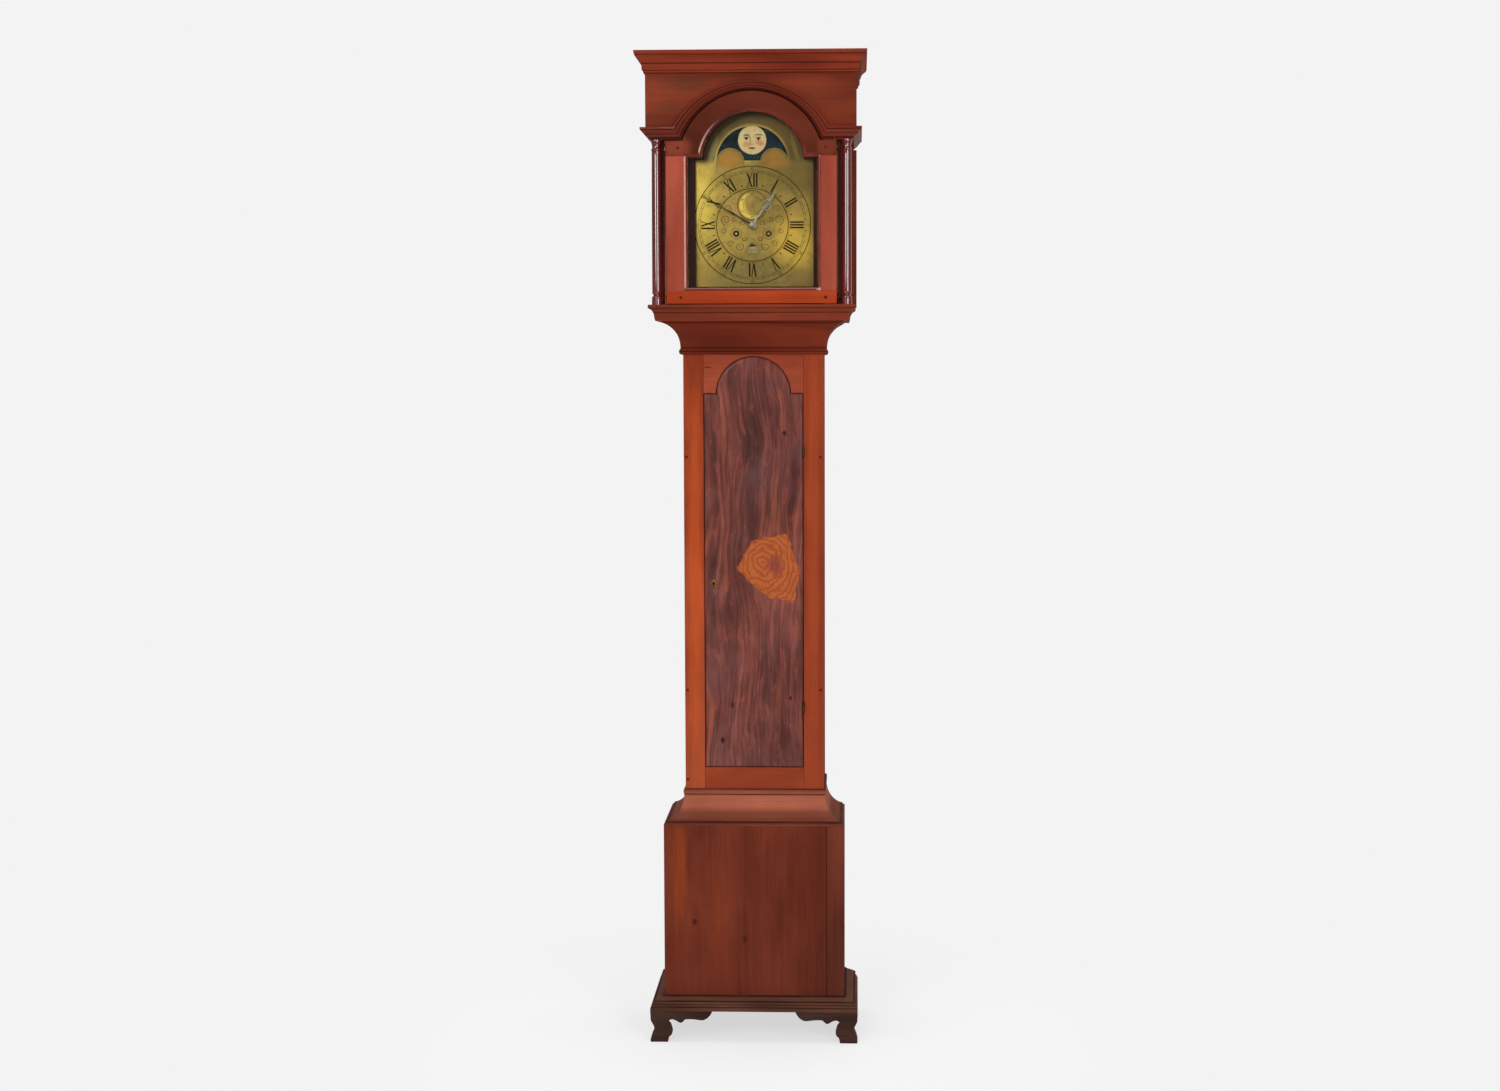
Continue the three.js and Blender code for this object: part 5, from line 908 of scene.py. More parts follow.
turned_up("bob_lens", lens, (0, 0, bob_z), bob_brass, "pendulum", "case_brass", ["pendulum_bob"], steps=96,
          axis="y")
knurls, nut_radius, knurl_deep = 24, 7.0, .35
turn = around(3 * knurls)
edge = nut_radius + knurl_deep * (np.cos(turn * knurls) > 0)
rings = np.stack([np.stack([grow * edge * np.cos(turn), rod_y + grow * edge * np.sin(turn),
                            np.full(len(turn), z)], 1)
                  for grow, z in ((.9, nut_low), (1, nut_low + .7), (1, nut_high - .7), (.9, nut_high))])
skinned("rating_nut", rings, wheel_brass, "pendulum", "case_brass")


# Weights: two cylinders of cast lead, a little tapered at the crown, each hung by an iron loop
# from a brass pulley that rides in the bight of its line.
cast_lead = aged_metal("cast_lead", (96, 98, 102), (58, 58, 60), .55, .75, grime=.8, scale=28)
iron = aged_metal("forged_iron", (72, 68, 64), (40, 36, 34), .5, .8, grime=.6, scale=70)
line_y, line_radius = -2.0, .8
weights = (("going", barrel_x, 1500.0), ("strike", -barrel_x, 1390.0))
weight_radius, weight_tall, weight_drop, crown = 26.0, 190.0, 44.0, 10.0
cheek_half, cheek_thick, pin_radius = 5.0, 2.0, 1.6
bevelled = [[0, -weight_tall], [weight_radius - 1.6, -weight_tall], [weight_radius, 1.6 - weight_tall],
            [weight_radius, -crown - 3], [weight_radius - .9, -crown], [weight_radius - 4, -5],
            [weight_radius - 10, -1.2], [9, 0], [7, .6], [6.2, 3.4], [4, 4.4], [0, 4.6]]
sheave = [[1.9, -5], [5, -5], [5, -4.2], [7, -3.6], [16, -3.4], [19, -4.4], [23.2, -5], [24, -4.6],
          [24, -4.1], [21.6, -2.6], [20.9, -2], [21.6, -1.4], [24, .1], [24, .6], [23.2, 1], [19, .4],
          [16, -.6], [7, -.4], [5, .2], [5, 1], [1.9, 1], [1.9, -5]]
for name, x, z in weights:
    top = z - weight_drop
    turned_up(f"{name}_weight_lead", bevelled, (x, line_y, top), cast_lead, f"{name}_weight", "lead",
              [f"{name}_weight"], steps=72)
    turn = np.linspace(0, np.pi, 13)
    cheek = np.concatenate([[[-cheek_half, top + 1], [cheek_half, top + 1]],
                            np.stack([cheek_half * np.cos(turn), z + 3 + cheek_half * np.sin(turn)], 1)])
    for word, front in (("front", -8.0), ("rear", 2.0)):
        panel(f"{name}_cheek_{word}", cheek + [x, 0], front, front + cheek_thick, iron, f"{name}_weight",
              "steel", bevel=.35)
    turn = around(16)
    pin = np.stack([x + pin_radius * np.cos(turn), z + pin_radius * np.sin(turn)], 1)
    skinned(f"{name}_pulley_pin", np.stack([upright(pin, -8.9), upright(pin, 4.9)]), arbor_steel,
            f"{name}_weight", "steel", bevel=.3)
    turned_up(f"{name}_sheave", sheave, (x, 0, z), wheel_brass, f"{name}_pulley", "case_brass",
              [f"{name}_pulley"], steps=72, axis="y")


# Gut lines: each comes down from the left of its barrel, passes under its pulley and goes up
# through the seat board to a knot. The weights hold them taut.
seat_top, line_loop, line_steps = 1843.0, 22.0, 60
for name, x, z in weights:
    end_x = x + line_loop
    turn = np.linspace(np.pi, 2 * np.pi, 41)[1:]
    bight = np.stack([x + line_loop * np.cos(turn), z + line_loop * np.sin(turn)], 1)
    falling = np.concatenate([np.linspace((x - line_loop, line_y, barrel_z), (x - line_loop, line_y, z),
                                          line_steps), upright(bight, line_y)])
    rising = np.linspace((end_x, line_y, z), (end_x, line_y, seat_top), line_steps)
    for word, path, top in (("fall", falling, barrel_z), ("rise", rising, seat_top)):
        line = skinned(f"{name}_line_{word}", tube(path, line_radius), gut, None, "gut", [f"{name}_line"],
                       smooth=60)
        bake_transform(line)
    turn = np.linspace(0, 4 * np.pi, 49)
    reach = 2.1 + .3 * np.cos(1.5 * turn)
    knot = np.stack([end_x + reach * np.cos(turn), line_y + reach * np.sin(turn),
                     seat_top + 1.2 + .9 * np.sin(1.5 * turn) + turn * .16], 1)
    skinned(f"{name}_line_knot", tube(knot, .95), gut, "case", "gut", smooth=60)


# Dial plate: one hammered brass sheet with an arched top, lacquered and worn. It is painted bright at the
# left and right of the face and olive at the foot and upper right, as painted reflections and shade over
# its tarnish, and dark round the arch with painted shadow.
arch_z, dial_y, seconds_z = 2083.0, -64.0, dial_z + 45.5
half_disc_x, half_disc_z = 51.5, arch_z - 4


def soft_oval(tree, place, x, z, wide, high, share=1.0, soft=0.6, lean=0.0):
    """Share inside an oval round (x, z), which falls to nothing over soft of the oval's size."""
    moved = node(tree, "Mapping", {"Vector": place, "Location": (x, 0, z), "Rotation": (0, lean, 0),
                                   "Scale": (wide, 1e9, high)}, vector_type="TEXTURE").outputs[0]
    far = node(tree, "VectorMath", {0: moved}, operation="LENGTH").outputs["Value"]
    return ranged(tree, far, 1 - soft / 2, 1 + soft / 2, share, 0.0, smooth=True)


def toned(tree, place, colour, tones):
    """The colour with soft ovals of other colours laid over it, one after the other."""
    for x, z, wide, high, lean, share, soft, tone in tones:
        oval = soft_oval(tree, place, x, z, wide, high, share, soft, lean)
        colour = mixed(tree, oval, colour, linear(*tone))
    return colour


# Tarnish of the face with painted reflections and shade, in millimetres: x, z, half wide, half high, lean,
# share, softness, colour.
face_tarnish_and_reflections = (
    (-128, 1985, 40, 92, 0, .85, 1.2, (206, 178, 84)), (-96, 1880, 60, 60, 0, .35, 1.2, (182, 156, 72)),
    (104, 1900, 54, 60, 0, .85, 1.0, (218, 180, 78)), (120, 1968, 26, 50, 0, .4, 1.0, (176, 142, 76)),
    (96, 2062, 92, 46, .5, .78, .9, (110, 90, 48)), (150, 2000, 14, 110, 0, .5, 1.0, (120, 100, 58)),
    (0, 2044, 84, 32, 0, .62, 1.0, (122, 106, 52)), (0, 1796, 190, 44, 0, .66, .9, (130, 113, 66)),
    (-146, 1850, 22, 90, 0, .5, 1.0, (112, 92, 52)), (0, 1850, 62, 26, 0, .5, 1.0, (122, 106, 62)),
    (-122, 1806, 30, 26, 0, .5, 1.0, (168, 138, 66)), (126, 1800, 26, 30, 0, .55, 1.0, (150, 112, 62)),
    (36, 1982, 42, 52, .4, .5, 1.0, (136, 112, 60)), (-38, 1917.5, 26, 26, 0, .5, .8, (182, 158, 78)),
    (38, 1917.5, 22, 22, 0, .3, .8, (170, 140, 76)), (-48, 1960, 26, 30, 0, .35, 1.0, (168, 132, 74)),
)


def dial_metal():
    """Old brass sheet: clouds of two yellows, the face's tarnish with painted reflections and shade over it,
    an arch darkened with painted shadow and lightened at each side with painted reflections, two painted half
    discs, a painted highlight as a crescent in the seconds ring, and fine brown specks."""
    material, tree, shader = new_material("dial_brass", .38, .88)
    coords = node(tree, "TexCoord").outputs["Object"]
    place = scaled(tree, coords, (1000, 1000, 1000))
    cloud = noise(tree, coords, 34, 4.0, .6, .5)
    colour = mixed(tree, ranged(tree, cloud, .36, .64), linear(146, 122, 60), linear(174, 146, 78))
    colour = toned(tree, place, colour, face_tarnish_and_reflections)
    # A bright crescent at the left of the seconds ring: painted highlight.
    crescent = maths(tree, "SUBTRACT", soft_oval(tree, place, 0, seconds_z, 31, 31, .9, .12),
                     soft_oval(tree, place, 13, seconds_z + 6, 31, 31, 1.0, .5))
    colour = mixed(tree, ranged(tree, crescent, 0, .9), colour, linear(224, 192, 96))
    up = node(tree, "SeparateXYZ", {0: place}).outputs[2]
    # Round the arch outside the moon's opening the brass is darkened as painted shadow, with a lighter streak
    # at each side as painted reflection.
    arch = maths(tree, "SUBTRACT", ranged(tree, up, 2080, 2092),
                 soft_oval(tree, place, 0, arch_z, 88, 88, 1.0, .05))
    colour = mixed(tree, ranged(tree, arch, 0, 1, 0, .9), colour, linear(90, 72, 44))
    for x, z, wide, high, share, soft, lean, tone in ((101, 2110, 5.5, 40, .75, .5, -.26, (128, 106, 50)),
                                                      (-93, 2108, 7, 38, .7, .6, .3, (134, 122, 84))):
        lit = maths(tree, "MULTIPLY", ranged(tree, arch, 0, 1),
                    soft_oval(tree, place, x, z, wide, high, share, soft, lean))
        colour = mixed(tree, lit, colour, linear(*tone))
    raised = node(tree, "VectorMath", {0: place, 1: (-1e6, -1e6, half_disc_z)},
                  operation="MAXIMUM").outputs[0]
    for x in (-half_disc_x, half_disc_x):
        disc = maths(tree, "MULTIPLY", soft_oval(tree, raised, x, half_disc_z, 33.5, 36, .85, .05),
                     ranged(tree, up, 2062, 2079, smooth=True))
        colour = mixed(tree, disc, colour, linear(146, 108, 50))
        tan = soft_oval(tree, place, x - 4, arch_z + 4, 17, 15, .45, 1.0)
        colour = mixed(tree, tan, colour, linear(166, 112, 46))
        edge = maths(tree, "SUBTRACT", disc, soft_oval(tree, raised, x, half_disc_z, 30, 32.4, 1.0, .05))
        colour = mixed(tree, ranged(tree, edge, 0, .8, 0, .55), colour, linear(116, 110, 70))
    speck = ranged(tree, noise(tree, coords, 640, 3.0, .7), .58, .74)
    stain = ranged(tree, noise(tree, coords, 70, 5.0, .66), .5, .78, 0, .5)
    worn = maths(tree, "MULTIPLY", speck, ranged(tree, cloud, .4, .7, .15, .6))
    colour = mixed(tree, maths(tree, "MAXIMUM", worn, stain), colour, linear(98, 76, 40))
    colour = mixed(tree, 1.0, colour, (1.08, 1.06, .97, 1), "MULTIPLY")
    height = maths(tree, "MULTIPLY_ADD", noise(tree, coords, 22, 2.0, .5), 6.0, speck)
    painted(tree, shader, colour, height, .1, .0003, ranged(tree, stain, 0, .5, .34, .5))
    return material


dial_brass = dial_metal()
dress(dial_brass, "dial_plate")


# Engraving: lines cut in the brass and filled with dark wax. Circles, bars and ribbons stand a
# tenth of a millimetre proud of the sheet, so that the filling catches no light of the brass.
wax_front, wax_rear = dial_y - 0.1, dial_y + 0.4


def hoop(x, z, inner, outer, steps=160):
    """A flat ring round (x, z): a four-cornered section carried round the circle."""
    turn = around(steps)[:, None]
    reach = np.array([[inner, outer, outer, inner]])
    deep = np.broadcast_to([[wax_front, wax_front, wax_rear, wax_rear]], (steps, 4))
    rings = np.stack([x + reach * np.cos(turn), deep, z + reach * np.sin(turn)], -1)
    return rings.reshape(-1, 3), looped(rings, close_path=True)[0]


def ribbon(path, width, front, rear):
    """A flat strip along a path (n, 2) in x and z, width wide, closed at both ends."""
    path = np.asarray(path, float)
    ahead = np.gradient(path, axis=0)
    ahead /= np.linalg.norm(ahead, axis=1)[:, None]
    aside = np.stack([-ahead[:, 1], ahead[:, 0]], 1) * np.broadcast_to(width, len(path))[:, None] / 2
    corners = ((path + aside, front), (path - aside, front), (path - aside, rear), (path + aside, rear))
    rings = np.stack([upright(line, deep) for line, deep in corners], 1)
    return rings.reshape(-1, 3), looped(rings)[0]


def bars(outlines):
    """Flat bars of four corners (n, 4, 2) in x and z."""
    outlines = np.asarray(outlines, float)
    flat = np.stack([outlines[..., 0], np.zeros(outlines.shape[:2]), outlines[..., 1]], -1)
    points = np.stack([flat + [0, wax_front, 0], flat + [0, wax_rear, 0]], 1)
    one = np.array([[0, 1, 2, 3], [4, 5, 6, 7], [0, 1, 5, 4], [1, 2, 6, 5], [2, 3, 7, 6], [3, 0, 4, 7]])
    faces = np.arange(len(outlines))[:, None, None] * 8 + one
    return points.reshape(-1, 3), faces.reshape(-1, 4).tolist()


def gathered(name, parts, material, body="case", replaced=(), smooth=None):
    """A piece of several surfaces, each with its points and faces."""
    starts = np.cumsum([0] + [len(points) for points, _ in parts[:-1]]).tolist()
    faces = [[corner + start for corner in face] for start, (_, own) in zip(starts, parts) for face in own]
    return finished(name, np.concatenate([points for points, _ in parts]), faces, material, body,
                    replaced, smooth)


def round_dial(points, turn, reach, centre=(0.0, dial_z)):
    """Flat points (x, z) drawn upright, moved out by reach and turned clockwise about a centre."""
    across, up = points[..., 0], points[..., 1] + reach
    return np.stack([centre[0] + across * np.cos(turn) + up * np.sin(turn),
                     centre[1] - across * np.sin(turn) + up * np.cos(turn)], -1)


def leaning(top, foot, thick):
    """A stroke of a Roman numeral from its top to its foot, thick wide."""
    high, half = 15.2, thick / 2
    return [[top - half, high], [top + half, high], [foot + half, -high], [foot - half, -high]]


def serif(at, level, wide):
    """A thin cross stroke at the top (level 1) or at the foot (level -1) of a stroke."""
    outer, inner = level * 15.5, level * 14.2
    return [[at - wide / 2, outer], [at + wide / 2, outer], [at + wide / 2, inner], [at - wide / 2, inner]]


thick, thin = 3.8, 1.9
numeral_reach, half_hour_reach, minute_reach, minute_high = 104.2, 93.5, 131.4, 6.2
letters = {
    "I": (6.3, [leaning(0, 0, thick), serif(0, 1, 5.6), serif(0, -1, 5.6)]),
    "V": (13.6, [leaning(-4.6, .4, thick), leaning(4.8, .6, thin), serif(-4.6, 1, 5.8), serif(4.8, 1, 4.4)]),
    "X": (14.6, [leaning(-4.8, 4.8, thick), leaning(4.8, -4.8, thin), serif(-4.8, 1, 5.8), serif(4.8, 1, 4.4),
                 serif(-4.8, -1, 4.4), serif(4.8, -1, 5.8)]),
}
hour_marks = []
for hour, word in enumerate(("XII", "I", "II", "III", "IIII", "V", "VI", "VII", "VIII", "IX", "X", "XI")):
    steps = np.array([letters[letter][0] for letter in word])
    starts = np.cumsum(steps) - steps / 2 - steps.sum() / 2
    for letter, start in zip(word, starts):
        hour_marks.append(round_dial(np.array(letters[letter][1]) + [start, 0], hour * np.pi / 6,
                                     numeral_reach))


def ticks(count, inner, outer, wide, centre):
    """Short bars that point to a centre, count of them round it."""
    turns = np.arange(count)[:, None] * 2 * np.pi / count
    bar = np.array([[-wide / 2, inner], [wide / 2, inner], [wide / 2, outer], [-wide / 2, outer]])[None]
    return round_dial(np.repeat(bar, len(turns), 0), turns, 0.0, centre)


lozenge = np.array([[0, -3.2], [1.7, 0], [0, 3.2], [-1.7, 0]])[None]
half_hours = round_dial(np.repeat(lozenge, 12, 0), (np.arange(12)[:, None] + .5) * np.pi / 6,
                        half_hour_reach)
centre, seconds = (0.0, dial_z), (0.0, seconds_z)


def figures(text, high, front, rear):
    """Raised figures of a plain number, high tall, drawn upright round the origin in x and z."""
    curve = bpy.data.curves.new("figure", "FONT")
    curve.body, curve.size, curve.resolution_u = text, high / 0.7, 2
    curve.align_x, curve.align_y = "CENTER", "CENTER"
    curve.extrude = (rear - front) / 2
    written = bpy.data.objects.new("figure", curve)
    mesh = bpy.data.meshes.new_from_object(written)
    points = np.empty(len(mesh.vertices) * 3)
    mesh.vertices.foreach_get("co", points)
    points = points.reshape(-1, 3)
    faces = [list(face.vertices) for face in mesh.polygons]
    bpy.data.objects.remove(written)
    bpy.data.curves.remove(curve)
    bpy.data.meshes.remove(mesh)
    return points, (front + rear) / 2, faces


def placed_figures(text, high, turn, reach, about, front, rear, outward=1):
    """Figures set round a centre with their tops outwards, or inwards where outward is -1."""
    points, deep, faces = figures(text, high, front, rear)
    flat = round_dial(points[:, :2] * outward, turn, reach, about)
    return np.stack([flat[:, 0], points[:, 2] + deep, flat[:, 1]], 1), faces


wax = aged_metal("engraver_wax", (26, 20, 12), (44, 34, 18), .6, 0, grime=.7, scale=160)
chapters = [hoop(0, dial_z, inner, outer) for inner, outer in
            ((135.6, 137.4), (121.8, 122.5), (126.2, 126.8), (83.2, 85.0), (87.2, 87.7))]
chapters += [bars(np.concatenate([*hour_marks, half_hours])), bars(ticks(60, 122.3, 126.3, .9, centre)),
             bars(ticks(48, 84.2, 87.4, .35, centre))]
chapters += [placed_figures(str(5 * step), minute_high, step * np.pi / 6, minute_reach, centre, wax_front,
                            wax_rear) for step in range(1, 13)]
gathered("dial_chapters", chapters, wax)

seconds_parts = [hoop(0, seconds_z, inner, outer, 96) for inner, outer in
                 ((34.0, 35.4), (31.0, 31.5), (21.4, 22.1))]
seconds_parts += [bars(ticks(60, 31.3, 34.4, .3, seconds))]
second_reach, second_high = 26.6, 4.6
seconds_parts += [placed_figures(str(10 * step), second_high, step * np.pi / 3, second_reach, seconds,
                                 wax_front, wax_rear) for step in range(1, 7)]
gathered("dial_seconds", seconds_parts, wax)

# Foliage and borders: light engraving in the middle, turned lines round the winding holes and the
# date opening, and scallops on the two half discs of the arch. Each winding hole has a dark rim
# of painted shade, and the worn square end of a barrel's arbor stands in it.
faint_wax = aged_metal("worn_engraving", (66, 50, 24), (92, 72, 38), .5, .5, grime=.8, scale=120)


def scroll(x, z, size, turns, start, hand):
    """A leaf scroll: a spiral whose reach shrinks evenly from size, as a ribbon that thins inwards."""
    share = np.linspace(0, 1, 40)
    angle = start + hand * share * turns * 2 * np.pi
    reach = size * (1 - .86 * share)
    path = np.stack([x + reach * np.cos(angle), z + reach * np.sin(angle)], 1)
    return ribbon(path, 1.8 - 1.2 * share, wax_front, wax_rear)


def bow(x, z, radius, first, last, width, steps=16):
    """A ribbon along a part of a circle."""
    turn = np.linspace(first, last, steps)
    path = np.stack([x + radius * np.cos(turn), z + radius * np.sin(turn)], 1)
    return ribbon(path, width, wax_front, wax_rear)


leaves, scallops, scallop_reach = [], 8, 31.0
for side in (-1, 1):
    for x, z, size, turns, start, hand in ((62, 12, 12, 1.6, -1.4, 1), (58, 38, 9, 1.4, -2.6, -1),
                                           (31, -50, 10, 1.5, 2.4, 1), (52, -44, 8, 1.5, 3.0, -1),
                                           (18, -31, 7, 1.4, .6, -1), (68, -14, 7, 1.4, 1.6, 1),
                                           (22, 4, 7, 1.3, -.6, 1), (43, 12, 6, 1.4, 2.2, -1)):
        flip = start if side > 0 else np.pi - start
        leaves.append(scroll(side * x, dial_z + z, size, turns, flip, hand * side))
    leaves += [hoop(side * barrel_x, barrel_z, inner, outer, 64)
               for inner, outer in ((11.6, 12.3), (13.0, 13.4))]
    leaves.append(bow(side * half_disc_x, arch_z, 29.4, .15, np.pi - .15, .6, 30))
    leaves += [bow(side * half_disc_x + scallop_reach * np.cos(turn), arch_z + scallop_reach * np.sin(turn),
                   2.6, turn + np.pi / 2, turn + 3 * np.pi / 2, .45)
               for turn in np.linspace(.35, np.pi - .35, scallops)]
leaves += [bow(0, arch_z, 114.6, .12, np.pi - .12, .7, 80), bow(0, arch_z, 86.6, .3, np.pi - .3, .5, 70)]
window = np.array([[-14, -8.2], [14, -8.2], [14, 7.4], [0, 18.5], [-14, 7.4], [-14, -8.2]])
leaves.append(ribbon(smooth_line(window, 6) + [0, dial_z - 58.8], .6, wax_front, wax_rear))
gathered("dial_foliage", leaves, faint_wax)
worn_square = aged_metal("worn_square", (226, 206, 146), (170, 146, 92), .5, .3, grime=.4, scale=200)
square_half, square_front, square_rear = 2.1, -68.2, -60.0
for name, x in (("going", barrel_x), ("strike", -barrel_x)):
    board(f"{name}_winding_square", (x - square_half, square_front, barrel_z - square_half),
          (x + square_half, square_rear, barrel_z + square_half), worn_square, f"{name}_barrel",
          "movement_brass", bevel=.3)
    # A dark ring round the winding hole, made in the engraving's wax: painted shade of the hole.
    gathered(f"{name}_hole_rim", [hoop(x, barrel_z, 5.5, 7.5, 64)], wax)


# Calendar ring: a silvered brass ring behind the dial with the 31 days, one of which stands in
# the opening. Its figures have their tops towards the middle, so that the lowest is upright.
silvered = aged_metal("silvered_brass", (178, 168, 122), (124, 112, 74), .42, .6, grime=.6, scale=120)
dress(silvered, "calendar_ring")
ring_front, shown_day, last_day, day_reach, day_high = -58.2, 21, 31, 59.2, 7.0
days = [placed_figures(str(day), day_high, np.pi - (day - shown_day) * 2 * np.pi / last_day, day_reach,
                       centre, ring_front - .08, ring_front + .1, -1) for day in range(1, last_day + 1)]
gathered("calendar_days", days, wax, "calendar")


# Moon disc: a thin iron disc painted as a dark sky with small stars, and two full moons on it,
# one at each end of a diameter. It turns behind the arch once in two lunations.
def sky_paint():
    """Blue-green oil paint gone dark, with stars where a cell's middle is near."""
    material, tree, shader = new_material("moon_sky", .5, coat=.1)
    coords = node(tree, "TexCoord").outputs["Object"]
    cloud = noise(tree, coords, 46, 4.0, .6)
    colour = mixed(tree, ranged(tree, cloud, .35, .65), linear(26, 36, 40), linear(38, 56, 70))
    cells = node(tree, "TexVoronoi", {"Vector": coords, "Scale": 90.0, "Randomness": 1.0}).outputs["Distance"]
    colour = mixed(tree, ranged(tree, cells, .05, .1, .6, 0), colour, linear(196, 176, 112))
    tree.links.new(colour, shader.inputs["Base Color"])
    return material


dress(sky_paint(), "moon_disc")
moon_reach, moon_radius, disc_front = 51.4, 34.2, -60.9

# Features of the painted face in its own units of one radius: across, up, half wide, half high,
# lean, share, softness and colour, from the broad shades to the fine strokes.
face_marks = (
    (0, -.1, 1.02, 1.1, 0, 1.0, .3, (234, 204, 146)), (.15, .55, .6, .3, 0, .5, 1.0, (240, 206, 148)),
    (.3, .25, .5, .55, 0, .35, 1.2, (246, 224, 184)), (-.62, .05, .3, .6, 0, .6, 1.2, (248, 232, 172)),
    (.62, -.3, .3, .5, 0, .4, 1.2, (242, 212, 174)), (0, -.82, .5, .2, 0, .45, 1.0, (226, 218, 168)),
    (-.4, -.28, .25, .19, 0, .62, 1.0, (226, 128, 82)), (.55, -.2, .28, .2, .3, .62, 1.0, (222, 120, 88)),
    (.34, -.08, .14, .16, 0, .4, 1.0, (226, 150, 120)), (.16, .66, .09, .05, 0, .4, .8, (196, 124, 84)),
    (.56, .6, .1, .06, .6, .35, .8, (204, 140, 100)), (-.4, .12, .2, .13, 0, .5, .8, (188, 160, 104)),
    (.42, .11, .2, .13, 0, .5, .8, (188, 160, 104)),
    (-.39, .34, .22, .06, -.06, .8, .6, (104, 80, 44)), (-.22, .25, .11, .05, .75, .6, .7, (120, 92, 52)),
    (-.57, .29, .08, .04, -.6, .5, .7, (140, 112, 62)), (.46, .36, .27, .06, .04, .8, .6, (104, 86, 44)),
    (.2, .28, .1, .045, -.75, .45, .7, (150, 124, 70)), (-.4, .11, .115, .07, 0, .9, .35, (236, 220, 190)),
    (.43, .1, .115, .07, 0, .9, .35, (236, 220, 190)), (-.41, .165, .17, .04, .05, .95, .4, (56, 34, 26)),
    (.43, .155, .17, .04, -.05, .95, .4, (56, 34, 26)), (-.405, .1, .08, .085, 0, 1.0, .3, (48, 30, 22)),
    (.43, .09, .08, .085, 0, 1.0, .3, (48, 30, 22)), (-.12, -.02, .035, .27, -.08, .6, .8, (134, 112, 66)),
    (.07, 0, .025, .24, .06, .3, .8, (170, 150, 96)), (-.13, -.27, .05, .05, .4, .5, .8, (170, 110, 74)),
    (.1, -.26, .05, .05, -.4, .45, .8, (170, 110, 74)), (-.02, -.31, .1, .025, 0, .5, .8, (158, 110, 74)),
    (0, -.55, .23, .065, 0, .95, .5, (172, 66, 50)), (-.02, -.535, .25, .026, 0, .95, .4, (76, 38, 28)),
    (.03, -.6, .12, .03, 0, .7, .6, (198, 104, 84)), (0, -.7, .1, .02, 0, .4, .8, (160, 128, 84)),
    (-.09, -.83, .03, .09, 0, .35, .8, (110, 120, 76)),
)


def moon_paint():
    """Cream oil paint with the features laid over it, yellowed varnish and a fine crackle."""
    material, tree, shader = new_material("moon_face", .5, coat=.1)
    coords = node(tree, "TexCoord").outputs["UV"]
    parts = node(tree, "SeparateXYZ", {0: coords})
    place = node(tree, "CombineXYZ", {0: parts.outputs[0], 2: parts.outputs[1]}).outputs[0]
    shaky = node(tree, "TexNoise", {"Vector": place, "Scale": 5.0, "Detail": 2.0}).outputs["Color"]
    shaky = node(tree, "VectorMath", {0: shaky, 1: (.5, .5, .5)}, operation="SUBTRACT").outputs[0]
    place = node(tree, "VectorMath", {0: shaky, 1: (.05, 0, .05), 2: place},
                 operation="MULTIPLY_ADD").outputs[0]
    colour = toned(tree, place, linear(220, 188, 130), face_marks)
    # A dark ring round the edge of the face: painted shade of the opening's edge.
    colour = mixed(tree, soft_oval(tree, place, 0, 0, .965, .965, 1.0, .03), linear(64, 50, 32), colour)
    cloud = noise(tree, place, 3.4, 4.0, .6)
    colour = mixed(tree, ranged(tree, cloud, .45, .75, 0, .45), colour,
                   mixed(tree, 1.0, colour, (.8, .66, .42, 1), "MULTIPLY"))
    cracks = node(tree, "TexVoronoi", {"Vector": place, "Scale": 15.0}, feature="DISTANCE_TO_EDGE").outputs[0]
    colour = mixed(tree, ranged(tree, cracks, 0, .035, .3, 0), colour, linear(120, 96, 60))
    tree.links.new(colour, shader.inputs["Base Color"])
    return material


moon_face_paint = moon_paint()
bend = np.linspace(0, np.pi / 2, 12)
moon_edge = np.stack([moon_radius * np.cos(bend), disc_front - .05 - .35 * np.sin(bend)], 1)
moon_profile = np.concatenate([[[0, disc_front - .02], [moon_radius, disc_front - .02]], moon_edge])
for name, side in (("full_moon_shown", 1), ("full_moon_hidden", -1)):
    middle = np.array([0, 0, arch_z + side * moon_reach])
    moon = turned_up(name, moon_profile, middle, moon_face_paint, "moon", "moon_paint", steps=72, axis="y")
    mesh = moon.data
    places, corners = np.empty(len(mesh.vertices) * 3), np.empty(len(mesh.loops), int)
    mesh.vertices.foreach_get("co", places)
    mesh.loops.foreach_get("vertex_index", corners)
    flat = (places.reshape(-1, 3)[:, [0, 2]] * 1000 - middle[[0, 2]]) / moon_radius * side
    mesh.uv_layers["grain"].data.foreach_set("uv", flat[corners].astype(np.float32).ravel())


# Hands: sawn and filed from steel sheet. The minute hand is a plain dark pointer; the hour hand
# is bright and pierced, with a spear tip over two leaves, on a round boss under a steel collet.
dark_steel = aged_metal("dark_steel", (74, 60, 44), (40, 33, 26), .34, .85, grime=.6, scale=80)
bright_steel = aged_metal("bright_steel", (196, 190, 168), (112, 102, 80), .3, .95, grime=.75, scale=110)
dress(dark_steel, "minute_hand")
hour_turn, hour_long, hour_wide, hour_front, hour_rear = .62, 95.5, 11.0, -71.2, -70.0
half_paths = (
    (((.0, .455), (.42, .475), (.9, .52), (1.0, .58), (.82, .64), (.5, .655), (.3, .62), (.42, .58),
      (.62, .59)), 1.7),
    (((.1, .5), (.36, .53), (.26, .6), (.12, .66), (.0, .7)), 1.3),
    (((.5, .655), (.62, .7), (.42, .735), (.2, .72), (.0, .745)), 1.5),
    (((.0, .745), (.32, .77), (.3, .8), (.0, .84)), 1.3),
)
hour_parts = []
for shares, width in half_paths:
    for side in (-1, 1):
        path = smooth_line(np.array(shares) * [side * hour_wide, hour_long], 8)
        hour_parts.append(ribbon(round_dial(path, hour_turn, 0.0), width, hour_front, hour_rear))
